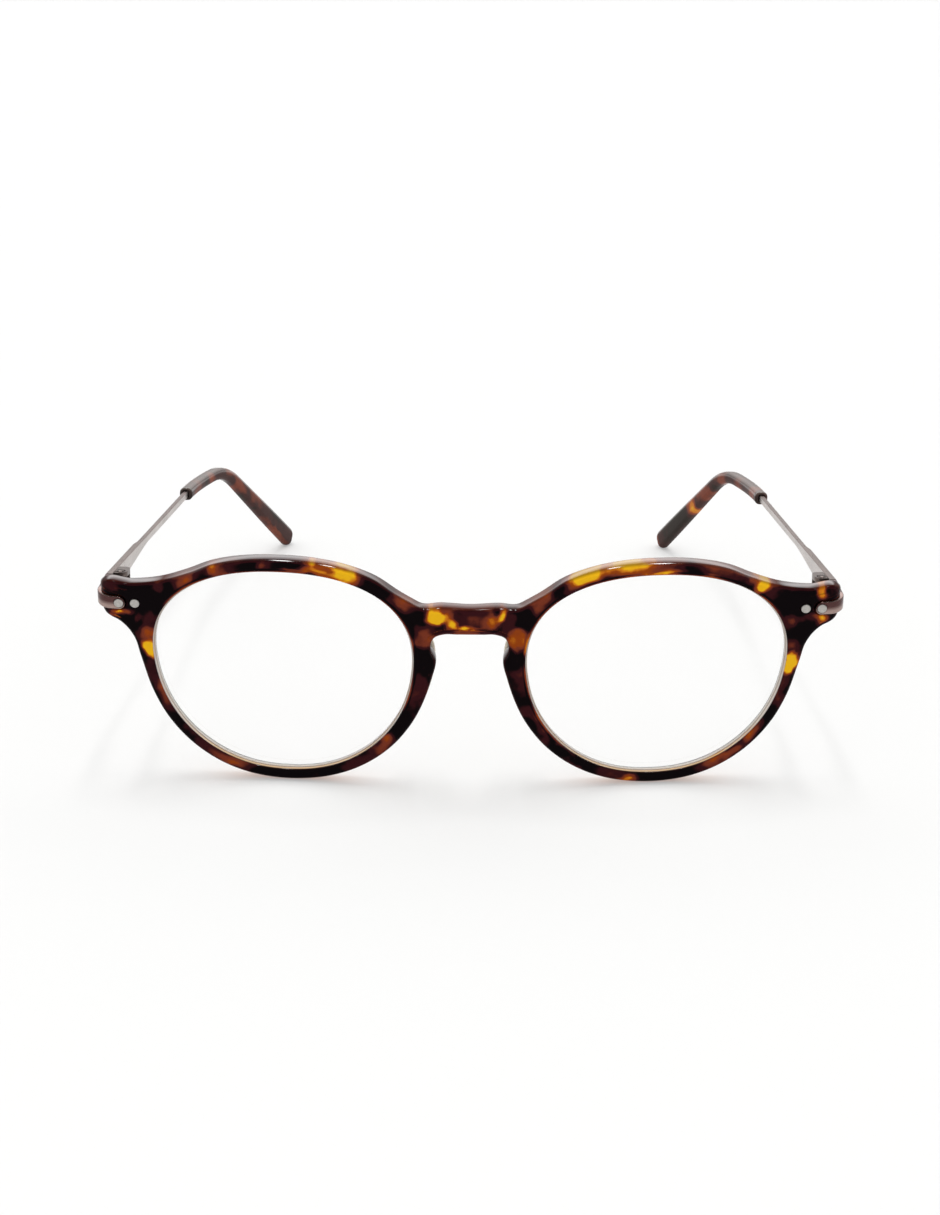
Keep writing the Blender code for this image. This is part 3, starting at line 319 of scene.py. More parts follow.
def rim_point(s, degrees):
    """The lens curve moved out by the rim's width, which runs from side to end as cosine squared."""
    clock = math.radians(degrees)
    side = s.rim_temple_side if math.cos(clock) > 0 else s.rim_nose_side
    end = s.rim_top if math.sin(clock) > 0 else s.rim_bottom
    width = side * math.cos(clock) ** 2 + end * math.sin(clock) ** 2
    return lens_curve(s, clock) + lens_normal(s, clock) * width


class Marks:
    """Places on the front that several pieces share."""

    def __init__(self, s, m):
        self.lens_u = s.bridge_gap / 2 + s.lens_width / 2
        self.lens_v = s.rim_bottom + s.lens_height / 2
        self.rim_u = self.lens_u + s.lens_width / 2 + s.rim_temple_side
        self.end_u = self.rim_u + s.end_length
        self.end_top = self.lens_v + s.end_rise
        self.end_bottom = self.end_top - s.end_depth
        self.bridge_top = self.lens_v + s.bridge_rise
        self.crown_v = self.bridge_top - s.bridge_height
        self.strip_v = self.end_top - m.strip_drop
        self.strip_outer_u = self.end_u + m.strip_side_proud
        self.strip_middle_u = self.strip_outer_u - m.strip_thickness / 2
        self.strip_middle_depth = m.strip_thickness / 2 - m.strip_proud
        self.strip_inner_u = self.end_u - m.strip_length
        self.outer_rivet_u = self.strip_inner_u + m.rivet_inset
        self.inner_rivet_u = self.outer_rivet_u - m.rivet_spacing
        self.hinge_u = self.strip_outer_u - m.hinge_toe_in - m.hinge_inset
        self.hinge_v = self.strip_v - m.hinge_drop


def outline_knots(s, k):
    """Half outline of the front as knots (u, v), each with the lens angle in degrees that it faces.

    They run from the keyhole's crown down the nose, round the rim and the end piece, and over the brow to
    the middle of the bridge.
    """
    half_key, half_nub = s.keyhole_width / 2, s.nub_gap / 2
    bow = s.crown_corner * (1 - math.cos(math.radians(45)))
    knots = [
        ((0, k.crown_v), 157),
        ((s.crown_flat / 2, k.crown_v), 160),
        ((s.crown_flat, k.crown_v), 163),
        ((half_key - bow, k.crown_v - bow), 168),
        ((half_key, k.crown_v - s.crown_corner), 173),
        ((half_nub, k.crown_v - s.nub_drop), 180),
        ((half_nub + s.nose_flare, k.crown_v - s.nub_drop - s.nose_flare_drop), 190),
    ]
    knots += [(rim_point(s, angle), angle) for angle in range(204, 354, RIM_STEP_DEG)]
    for step, (along, below) in enumerate(END_SWEEP_SHARES):
        place = (k.rim_u + s.end_length * along, k.end_bottom + s.end_depth * below)
        knots.append((place, END_SWEEP_FIRST_DEG + END_SWEEP_STEP_DEG * step))
    knots += [
        ((k.end_u, k.end_bottom + s.end_depth / 4), 29),
        ((k.end_u, k.end_top - s.end_depth / 3), 32),
        ((k.end_u, k.end_top - s.end_corner), 35),
        ((k.end_u - s.end_corner, k.end_top), 38),
        ((k.rim_u + s.end_length / 5, k.end_top), 43),
    ]
    brow = rim_point(s, BROW_DEG)
    for along, angle in BROW_SWEEP_SHARES:
        rise = (brow[1] - k.end_top) * along ** BROW_SWEEP_POWER
        knots.append(((k.rim_u + (brow[0] - k.rim_u) * along, k.end_top + rise), angle))
    knots += [(rim_point(s, angle), angle) for angle in range(BROW_DEG, 140, RIM_STEP_DEG)]
    shoulder = k.bridge_top - s.bridge_dip
    shoulder_end = (s.shoulder_reach + s.rim_top * SHOULDER_OUT_SHARE,
                    shoulder + s.rim_top * SHOULDER_UP_SHARE)
    knots += [
        (shoulder_end, 145),
        ((s.shoulder_reach, shoulder + s.bridge_dip / 2), 148),
        ((s.shoulder_reach * BRIDGE_FLAT_SHARE, k.bridge_top), 151),
        ((0, shoulder), 153),
    ]
    return knots


def smooth_outline(s, k):
    """Cubic curve through the knots whose slope at each knot is weighted by the spacing there."""
    knots = outline_knots(s, k)
    places = np.array([knot[0] for knot in knots])
    clocks = np.array([knot[1] for knot in knots], dtype=float)
    clocks[clocks < clocks[0]] += 360
    flip = np.array([-1, 1])
    padded = np.vstack([places[1] * flip, places, places[-2] * flip])
    points, angles = [], []
    for n in range(len(places) - 1):
        before, start, end, after = padded[n:n + 4]
        first, middle, last = (np.linalg.norm(start - before), np.linalg.norm(end - start),
                               np.linalg.norm(after - end))
        leave = ((start - before) * middle / first + (end - start) * first / middle) / (first + middle)
        arrive = ((end - start) * last / middle + (after - end) * middle / last) / (middle + last)
        count = max(2, round(middle / OUTLINE_STEP))
        share = (np.arange(count) / count)[:, None]
        points.append(cubic(share, start, middle * leave, end, middle * arrive))
        angles.append(clocks[n] + (clocks[n + 1] - clocks[n]) * share[:, 0])
    points.append(places[-1:])
    angles.append(clocks[-1:])
    return np.concatenate(points), np.radians(np.concatenate(angles))


def cubic(share, start, leave, end, arrive):
    """Hermite curve from start to end, which leaves and arrives with the given slopes."""
    square, cube = share ** 2, share ** 3
    return ((2 * cube - 3 * square + 1) * start + (cube - 2 * square + share) * leave
            + (3 * square - 2 * cube) * end + (cube - square) * arrive)


def inward_normals(points):
    """Unit normals that point from the outline into the acetate, level at both ends."""
    tangent = np.gradient(points, axis=0)
    tangent[0], tangent[-1] = (1, 0), (-1, 0)
    return unit(np.stack([-tangent[:, 1], tangent[:, 0]], axis=-1))


def on_front(s, k, u, depth, v):
    """Point at a depth behind the front face, which falls back with the square of u."""
    sag = s.sag * (np.asarray(u) / k.end_u) ** 2
    return np.stack(np.broadcast_arrays(u, depth + sag, v), axis=-1).astype(float)


def leaned(s, k, place, depth):
    """Points (u, v) of a lens opening at a depth, where its wall stands square to the curved face."""
    slope = 2 * s.sag * place[:, 0] / k.end_u ** 2
    return np.column_stack([place[:, 0] - depth * slope, place[:, 1]])


def turned_depth(s, k, u, depth):
    """Depth with the front face curled back by a quarter circle at the end piece's edge."""
    radius = s.end_turn_radius
    past = np.clip(u - (k.end_u - radius), 0, radius)
    turned = radius - np.sqrt(radius ** 2 - past ** 2)
    return depth + turned * (1 - depth / s.thickness)


def inside(count):
    """Shares of the places that divide a length evenly, without its two ends."""
    return np.linspace(0, 1, count + 2)[1:-1]


def front_rows(s, k):
    """Half of the acetate as rows round its section, each row running round one lens opening.

    The section starts at the front of the opening, passes the groove to the back, turns round the
    outline with quarter circles and comes back over the front face. The last stations stand in the
    middle of the bridge, where the two halves meet.
    """
    outline, clocks = smooth_outline(s, k)
    inward = inward_normals(outline)
    open_stations = len(outline)
    down = inside(MIDDLE_STATIONS)[:, None]
    clocks = np.append(clocks, clocks[-1] + (clocks[0] + 2 * math.pi - clocks[-1]) * down[:, 0])
    outline = np.vstack([outline, outline[-1] * (1 - down) + outline[0] * down])
    inward = np.vstack([inward, inward[-1] * (1 - down) + inward[0] * down])
    opening, outward = lens_curve(s, clocks), lens_normal(s, clocks)
    under_crown = np.clip(1 - (outline[:, 0] / (s.keyhole_width / 2)) ** 4, 0, 1)
    under_crown[outline[:, 1] > (k.crown_v + k.bridge_top) / 2] = 0
    under_crown[open_stations:] = down[:, 0]
    bevel = s.front_rounding + (s.crown_bevel - s.front_rounding) * under_crown
    back, middle, half = s.thickness, s.thickness / 2, s.groove_width / 2
    rounding = np.linspace(0, QUARTER, ROUNDING_STEPS + 1)
    rows = []

    def inner_row(inset, depth):
        place = leaned(s, k, opening + outward * inset, depth)
        rows.append(on_front(s, k, place[:, 0], depth, place[:, 1]))

    def outer_row(inset, depth):
        place = outline + inward * inset[:, None]
        rows.append(on_front(s, k, place[:, 0], turned_depth(s, k, place[:, 0], depth), place[:, 1]))

    soft = s.inner_rounding
    for angle in rounding:
        inner_row(soft * (1 - math.sin(angle)), soft * (1 - math.cos(angle)))
    wall_middle = (middle - half - soft) / 2
    for inset, depth in ((0, middle - half - wall_middle), (0, middle - half), (s.groove_depth, middle),
                         (0, middle + half), (0, middle + half + wall_middle)):
        inner_row(inset, depth)
    for angle in rounding[::-1]:
        inner_row(soft * (1 - math.sin(angle)), back - soft * (1 - math.cos(angle)))
    inner_edge = opening + outward * soft
    outer_edge = outline + inward * s.edge_rounding
    inner_back = leaned(s, k, inner_edge, back)
    for share in inside(BACK_ROWS):
        place = inner_back + (outer_edge - inner_back) * share
        rows.append(on_front(s, k, place[:, 0], back, place[:, 1]))
    first_outer = len(rows)
    flat = np.ones_like(bevel)
    radius = s.edge_rounding
    for angle in rounding:
        outer_row(radius * (1 - math.sin(angle)) * flat, (back - radius * (1 - math.cos(angle))) * flat)
    outer_row(0 * flat, (back - radius + bevel) / 2)
    for angle in rounding[::-1]:
        outer_row(bevel * (1 - math.sin(angle)), bevel * (1 - math.cos(angle)))
    last_outer = len(rows) - 1
    outer_edge = outline + inward * bevel[:, None]
    for share in inside(FACE_ROWS):
        place = outer_edge + (inner_edge - outer_edge) * share
        rows.append(on_front(s, k, place[:, 0], turned_depth(s, k, place[:, 0], 0), place[:, 1]))
    return np.array(rows), open_stations, first_outer, last_outer


# Places of the front and the hinges in the part's frame

def left_hinge_pose():
    """The left hinge's frame from its joint, whose axis gives the temple's spread and pitch."""
    joint = JOINTS["left_temple_fold"]
    x, y, z = joint["axis"]
    return (Matrix.Translation(joint["pos_m"]) @ Matrix.Rotation(math.atan2(-x, y), 4, "Z")
            @ Matrix.Rotation(-math.atan2(math.hypot(x, y), z), 4, "X"))


def front_pose(s, m, k):
    """The front's frame: it leans forward, and its hinge point lies on the left joint."""
    hinge_y = on_front(s, k, k.hinge_u, s.thickness, 0)[1] + m.hinge_setback
    lean = Matrix.Rotation(FRONT_LEAN, 4, "X")
    pivot = Vector(JOINTS["left_temple_fold"]["pos_m"])
    return Matrix.Translation(pivot - lean @ Vector((k.hinge_u, hinge_y, k.hinge_v))) @ lean


def moved(points, matrix):
    change = np.array(matrix)
    return np.asarray(points) @ change[:3, :3].T + change[:3, 3]


def settings():
    """The front's and the metal's sizes, the places that they give, and the two frames."""
    scene = bpy.context.scene
    s, m = scene.glasses_front, scene.glasses_metal
    k = Marks(s, m)
    return s, m, k, front_pose(s, m, k), left_hinge_pose()


# Meshes

def loft(rings):
    """A closed solid through rings of equal count, with a flat cap at both ends."""
    rings = np.asarray(rings)
    count, around = rings.shape[:2]
    j, i = np.meshgrid(np.arange(count - 1), np.arange(around), indexing="ij")
    beside = (i + 1) % around
    quads = np.stack([j * around + i, j * around + beside, (j + 1) * around + beside, (j + 1) * around + i],
                     axis=-1)
    caps = [tuple(range(around)), tuple(range((count - 1) * around, count * around))]
    return rings.reshape(-1, 3), quads.reshape(-1, 4).tolist() + caps


def carried(section, path, across, ups):
    """Rings along a path: its places plus the section's two coordinates times the across and up directions.

    The section is one for the whole path, or one for each place.
    """
    section = np.asarray(section)
    return path[:, None] + section[..., :1] * across[:, None] + section[..., 1:] * ups[:, None]


def make_mesh(name, points, faces, side=1, weld=0.0, crease=35):
    """A mesh in the part's frame; side -1 gives the mirror image across X."""
    points = np.array(points, dtype=float) * (side, 1, 1)
    mesh = bpy.data.meshes.new(name)
    mesh.from_pydata(points.tolist(), [], faces)
    shape = bmesh.new()
    shape.from_mesh(mesh)
    if weld:
        bmesh.ops.remove_doubles(shape, verts=shape.verts, dist=weld)
    bmesh.ops.recalc_face_normals(shape, faces=shape.faces)
    shape.to_mesh(mesh)
    shape.free()
    finish_shading(mesh, crease)
    return mesh


def finish_shading(mesh, crease):
    mesh.shade_smooth()
    mesh.set_sharp_from_angle(angle=math.radians(crease))


def cut(mesh, name, cutter, crease=35):
    """The mesh after an exact Boolean with one cutter mesh."""
    scene = bpy.context.scene
    thing = bpy.data.objects.new(name + "_uncut", mesh)
    helper = bpy.data.objects.new(name + "_cutter", cutter)
    for made in (thing, helper):
        scene.collection.objects.link(made)
    modifier = thing.modifiers.new("cut", "BOOLEAN")
    modifier.object = helper
    modifier.solver = "EXACT"
    bpy.context.view_layer.update()
    result = bpy.data.meshes.new_from_object(thing.evaluated_get(bpy.context.evaluated_depsgraph_get()))
    result.name = name
    for made in (thing, helper):
        bpy.data.objects.remove(made, do_unlink=True)
    finish_shading(result, crease)
    return result


def joined(parts):
    """Points and faces of several solids as one."""
    points, faces = [], []
    for part_points, part_faces in parts:
        first = sum(len(p) for p in points)
        points.append(np.asarray(part_points))
        faces += [tuple(np.asarray(face) + first) for face in part_faces]
    return np.concatenate(points), faces


def add_piece(name, mesh, body, slot, node, *finishes):
    """Shows the mesh as a piece that rides on a body and stands for a CAD node."""
    piece = bpy.data.objects.new(name, mesh)
    bpy.context.scene.collection.objects.link(piece)
    mesh.materials.clear()
    for finish in finishes:
        mesh.materials.append(finish)
    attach(piece, body)
    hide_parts(node)
    return piece


def read_vectors(items, key):
    values = np.zeros(len(items) * 3, dtype=np.float32)
    items.foreach_get(key, values)
    return values.reshape(-1, 3).astype(float)


def set_attribute(mesh, name, values):
    layer = mesh.attributes.new(name, "FLOAT", "POINT")
    layer.data.foreach_set("value", np.asarray(values, dtype=np.float32))


def circle(radius, sides):
    angles = np.arange(sides) * 2 * math.pi / sides
    return np.stack([radius * np.cos(angles), radius * np.sin(angles)], axis=-1)


def rounded_rectangle(half_width, half_height, radius, steps=5):
    """Rectangle with quarter circles at its corners, anticlockwise."""
    radius = min(radius, half_width * 0.98, half_height * 0.98)
    angles = np.concatenate([np.linspace(q, q + 1, steps + 1) for q in range(4)]) * QUARTER
    sx = np.repeat([1, -1, -1, 1], steps + 1)
    sy = np.repeat([1, 1, -1, -1], steps + 1)
    return np.stack([sx * (half_width - radius) + radius * np.cos(angles),
                     sy * (half_height - radius) + radius * np.sin(angles)], axis=-1)


# Pigment of the acetate: 0 is clear gold, 1 is black

HASH_FACTORS = np.array([73856093, 19349663, 83492791])
SEED_FACTOR = 2654435761
MIX_FACTOR = 1274126177


def lattice_noise(points, cell, seed):
    """Random values at the corners of cubes of one cell, blended smoothly between them, 0 to 1."""
    scaled_points = np.asarray(points) / cell
    base = np.floor(scaled_points).astype(np.int64)
    part = smooth(scaled_points - base)
    total = np.zeros(len(scaled_points))
    for corner in range(8):
        offset = np.array([corner & 1, corner >> 1 & 1, corner >> 2 & 1])
        mixed = np.bitwise_xor.reduce((base + offset) * HASH_FACTORS, axis=1) ^ seed * SEED_FACTOR
        mixed = (mixed ^ (mixed >> 13)) * MIX_FACTOR
        value = ((mixed ^ (mixed >> 16)) & 0xFFFF) / 65535
        total += value * np.prod(np.where(offset == 1, part, 1 - part), axis=1)
    return total


def stirring(points, layers):
    """Sum of noises about zero, from layers of strength, cell and seed."""
    return sum(strength * (lattice_noise(points, cell, seed) - 0.5) for strength, cell, seed in layers)


# Patches of the front, in millimetres and degrees: u, v, half length, half width, turn, pigment.
# Black first, then the browns, then amber and gold, so that the clearer ones lie on top.
FRONT_PATCHES = (
    (-60.5, 37.8, 4.6, 3.0, -6, 1.0), (-54.6, 39.4, 2.4, 1.2, 35, 0.97),
    (-47.9, 43.0, 0.9, 1.3, -20, 0.95), (-40.4, 44.8, 2.2, 1.3, 4, 1.0), (-32.4, 45.6, 3.7, 0.9, 0, 1.0),
    (-16.2, 41.7, 4.6, 1.5, -31, 1.0), (-9.9, 35.4, 2.2, 2.1, 0, 1.0), (-7.9, 27.0, 2.4, 2.0, 0, 1.0),
    (-11.6, 13.8, 4.8, 2.1, 56, 1.0), (-33.6, 1.2, 8.5, 1.5, 0, 1.0), (-25.5, 2.8, 4.0, 1.5, 10, 1.0),
    (-55.4, 12.6, 3.8, 1.8, -55, 0.98), (-58.9, 22.5, 2.8, 1.7, -75, 0.86),
    (-62.3, 32.4, 1.6, 1.0, 60, 0.97), (-65.3, 39.4, 1.4, 0.9, 0, 0.80), (60.0, 37.6, 4.2, 3.0, 6, 1.0),
    (65.8, 37.0, 1.9, 3.5, 0, 0.97), (60.2, 31.2, 2.4, 2.0, 70, 1.0), (39.8, 44.9, 2.0, 1.4, -4, 1.0),
    (46.6, 42.9, 2.6, 0.7, -20, 0.86), (55.7, 12.7, 4.2, 1.9, 57, 1.0), (39.2, 1.5, 7.5, 1.7, 4, 1.0),
    (21.4, 5.4, 4.6, 1.8, -30, 1.0), (9.7, 19.4, 3.8, 1.7, -68, 0.92), (8.1, 27.3, 2.4, 2.1, 0, 1.0),
    (9.5, 35.6, 1.9, 2.1, 0, 1.0), (15.8, 41.9, 3.2, 1.5, 42, 1.0), (59.5, 17.5, 2.2, 0.8, 72, 0.97),
    (-51.3, 41.9, 2.2, 1.5, 22, 0.70), (-51.2, 41.4, 1.1, 0.6, 30, 0.46),
    (-45.3, 43.4, 1.7, 1.3, 12, 0.64), (-43.0, 42.8, 1.2, 0.6, 10, 0.56),
    (-46.2, 44.1, 0.9, 0.9, 0, 0.32), (-56.4, 39.7, 0.9, 0.7, 0, 0.76), (-37.0, 45.2, 1.0, 0.6, 0, 0.62),
    (-59.0, 33.2, 1.6, 1.4, 0, 0.80), (-61.0, 33.1, 0.5, 0.9, -25, 0.60),
    (-59.2, 29.9, 1.9, 1.2, -5, 0.60), (-59.0, 30.2, 1.2, 0.5, 0, 0.50),
    (-12.2, 38.7, 1.7, 1.1, -38, 0.54), (-11.6, 39.6, 1.6, 0.4, -40, 0.34),
    (-8.6, 31.6, 2.1, 2.1, 0, 0.52), (-8.7, 22.2, 2.2, 1.6, 75, 0.78),
    (-15.9, 8.5, 2.5, 1.2, 42, 0.60), (-15.3, 9.9, 1.0, 0.6, 45, 0.48), (-20.9, 3.9, 2.6, 1.5, 25, 0.74),
    (-46.2, 4.2, 3.4, 1.0, -25, 0.58), (-44.6, 3.1, 1.0, 0.5, -20, 0.46),
    (-50.5, 7.6, 2.6, 1.4, -45, 0.80), (-57.0, 17.5, 2.7, 1.0, -66, 0.58),
    (-56.7, 18.2, 1.8, 0.4, -66, 0.36), (35.3, 45.7, 2.5, 0.75, 0, 0.66),
    (44.0, 45.2, 3.4, 1.2, -14, 0.68), (48.2, 44.2, 2.2, 1.0, -20, 0.70),
    (43.2, 43.6, 1.4, 0.4, -8, 0.44), (54.4, 41.2, 1.2, 1.2, -30, 0.70), (58.8, 33.6, 0.8, 0.9, 0, 0.62),
    (58.9, 28.4, 1.3, 1.2, 0, 0.70), (57.9, 20.4, 2.8, 1.0, 74, 0.62), (12.9, 39.5, 2.1, 1.6, 42, 0.52),
    (8.9, 31.5, 1.9, 2.1, 0, 0.40), (13.0, 14.2, 2.1, 1.1, -60, 0.56), (17.1, 9.3, 2.4, 0.5, -48, 0.56),
    (27.0, 2.3, 2.6, 1.3, -14, 0.74), (47.0, 4.6, 3.4, 1.2, 30, 0.70), (47.5, 5.5, 3.4, 0.6, 30, 0.44),
    (52.9, 10.4, 2.0, 0.8, 52, 0.42), (4.2, 35.4, 1.8, 1.8, 0, 0.40), (0.4, 36.6, 2.6, 0.6, 0, 0.92),
    (0.2, 34.8, 2.4, 1.4, 0, 0.78), (-5.2, 33.2, 1.2, 1.3, 0, 0.84), (4.5, 32.6, 2.6, 0.5, 0, 0.82),
    (-1.0, 32.4, 3.4, 0.5, 0, 0.54), (0.4, 33.5, 3.6, 0.22, 0, 0.56), (7.2, 34.9, 0.9, 1.6, 0, 0.80),
    (-24.3, 44.2, 4.3, 1.3, -17, 0.32), (-25.5, 45.1, 2.4, 0.25, -15, 0.46),
    (-28.2, 45.8, 0.5, 0.4, 0, 0.20), (-30.5, 44.5, 3.0, 0.28, -2, 0.36),
    (-64.0, 34.1, 1.6, 0.5, 0, 0.16), (-65.4, 33.3, 0.9, 0.4, 0, 0.50), (-3.9, 35.5, 0.8, 1.1, 0, 0.44),
    (51.1, 42.5, 1.0, 0.8, -20, 0.36), (63.9, 39.6, 0.9, 1.6, 0, 0.33), (62.6, 34.4, 1.0, 0.6, 0, 0.58),
    (9.9, 29.8, 0.4, 1.8, 0, 0.30), (29.3, 0.9, 1.6, 0.6, 0, 0.44), (-59.2, 26.8, 1.5, 1.9, 0, 0.03),
    (-22.6, 44.3, 2.0, 1.0, -22, 0.03), (-28.0, 44.9, 1.9, 0.25, -4, 0.16),
    (-24.5, 43.1, 2.6, 0.25, -17, 0.18), (-6.2, 36.0, 1.75, 1.6, 0, 0.03),
    (-3.4, 34.2, 0.95, 0.9, -20, 0.05), (-1.5, 33.5, 1.7, 0.36, 0, 0.18), (5.7, 36.3, 0.7, 1.3, -12, 0.14),
    (21.4, 44.2, 3.7, 1.4, 28, 0.07), (28.6, 45.7, 4.4, 1.05, 9, 0.07), (29.0, 44.4, 2.6, 0.2, 5, 0.60),
    (34.4, 44.6, 3.1, 0.55, 0, 0.08), (53.5, 42.3, 1.3, 0.8, -20, 0.14),
    (52.7, 41.1, 1.3, 1.2, -25, 0.03), (59.2, 24.7, 1.4, 2.2, -8, 0.04), (30.5, 1.5, 1.2, 0.8, 0, 0.12),
    (64.0, 34.1, 1.0, 0.8, 30, 0.10),
)

# Patches of the tips: side, distance from the hinge, height above the centre line, half length,
# half height, pigment
TIP_PATCHES = (
    (1, 72.5, 0.0, 2.6, 1.8, 0.52), (1, 84.0, -0.3, 3.4, 1.6, 0.62), (1, 96.0, 0.4, 3.2, 1.8, 0.50),
    (1, 106.5, 0.2, 4.6, 2.4, 0.55), (1, 125.0, 0.0, 6.4, 2.6, 0.98), (1, 139.5, 0.4, 2.0, 2.2, 0.50),
    (1, 115.0, 0.0, 2.2, 2.8, 0.36), (1, 114.6, -0.7, 1.5, 1.2, 0.16),
    (-1, 74.0, 0.2, 2.4, 1.4, 0.58), (-1, 85.0, 0.3, 2.6, 1.4, 0.46), (-1, 97.0, 0.9, 3.0, 1.2, 0.50),
    (-1, 104.0, -0.2, 4.2, 1.6, 0.54), (-1, 114.0, 0.8, 4.6, 1.8, 0.60), (-1, 128.0, 0.4, 6.0, 1.8, 0.94),
    (-1, 130.0, -2.2, 8.0, 0.6, 0.58),
)

# Noises of the acetate, as layers of strength, cell and seed
SWIRL_LAYERS = tuple(((0.0016, 0.0042, seed),) for seed in (21, 22, 23))
GROUND_LAYERS = ((0.5, 0.0034, 3), (0.10, 0.0012, 4))
STIR_U_LAYERS = ((0.0009, 0.0026, 5), (0.0003, 0.0009, 6))
STIR_V_LAYERS = ((0.0007, 0.0026, 7), (0.0003, 0.0009, 8))
RAGGED_LAYERS = ((0.7, 0.0017, 15), (0.3, 0.0008, 16))
CLOUD_LAYERS = ((0.26, 0.0021, 10), (0.08, 0.0009, 11))
VEIN_LAYERS = ((0.46, 0.0011, 12),)
FLECK_LAYERS = ((0.24, 0.0013, 14),)
TIP_GROUND_LAYERS = ((0.34, 0.0052, 11), (0.08, 0.0018, 12))
TIP_STIR_LAYERS = ((0.0016, 0.0026, 13),)
TIP_RAGGED_LAYERS = ((0.8, 0.0021, 17),)
STREAK_CELL, STREAK_SEED = 0.0045, 9

# Softness of the patches' edges; those this wide, in millimetres, or wider wander the most
DARK_EDGE = 0.0011
CLEAR_EDGE = 0.0007
TIP_PATCH_EDGE = 0.0018
WANDER_WIDTH = 1.6

# Veins follow the rim: its mean radius, the pattern's stretch along, out and back, and its shift per side
RIM_RADIUS = 0.023
VEIN_STRETCH = (0.3, 1.5, 0.6)
SIDE_SHIFT = 0.0031
VEIN_LIFT = 0.0672
GROUND_PIGMENT = 0.92
TIP_PIGMENT = 0.84
LINE_PIGMENT = 0.30
# Painted light: the amber of the underside stands in for light let through the acetate
UNDERSIDE_GLOW_PIGMENT = 0.24

# Bands at the opening's front edge: the amber line of painted light, the painted shade outside it, and how
# far the wall reaches
LINE_BAND = (0.00036, 0.00022)
SHADE_BANDS = ((0.00036, 0.00048), (0.0008, 0.0006))
WALL_REACH = 0.0011


def fade(values, none, full):
    """0 where the values reach none, 1 where they reach full, level at both ends."""
    return smooth((values - none) / (full - none))


def blend_patches(ground, u, v, patches, ragged, dark_edge=DARK_EDGE, clear_edge=CLEAR_EDGE):
    """Lays ellipses over the ground value; the browns and black have softer edges than amber and gold.

    Ragged is added to the distance from each ellipse's middle, less for small ones, so its outline wanders.
    """
    for centre_u, centre_v, half_long, half_wide, degrees, tone in patches:
        angle = math.radians(degrees)
        du, dv = u - centre_u * MILLIMETRE, v - centre_v * MILLIMETRE
        along = (du * math.cos(angle) + dv * math.sin(angle)) / (half_long * MILLIMETRE)
        across = (dv * math.cos(angle) - du * math.sin(angle)) / (half_wide * MILLIMETRE)
        edge = clear_edge if tone < 0.5 else dark_edge
        softness = float(np.clip(edge / (half_wide * MILLIMETRE), 0.25, 0.85))
        wander = ragged * min(1.0, half_wide / WANDER_WIDTH)
        reach = np.sqrt(np.sqrt(along ** 4 + across ** 4 + along ** 2 * across ** 2)) + wander
        cover = smooth((1 + softness - reach) / (2 * softness))
        ground = ground * (1 - cover) + tone * cover
    return ground


def opening_distance(s, k, u, v):
    """How far a place lies outside the lens opening, from the superellipse's own equation."""
    up = (v - k.lens_v) / (s.lens_height / 2)
    across = (np.abs(u) - k.lens_u) / (s.lens_width / 2 * (1 + s.lens_widening * np.clip(up, -1.2, 1.2)))
    level = np.abs(across) ** s.lens_squareness + np.abs(up) ** s.lens_squareness
    radius = np.hypot(np.abs(u) - k.lens_u, v - k.lens_v)
    return radius * (1 - 1 / np.maximum(level ** (1 / s.lens_squareness), 0.001))


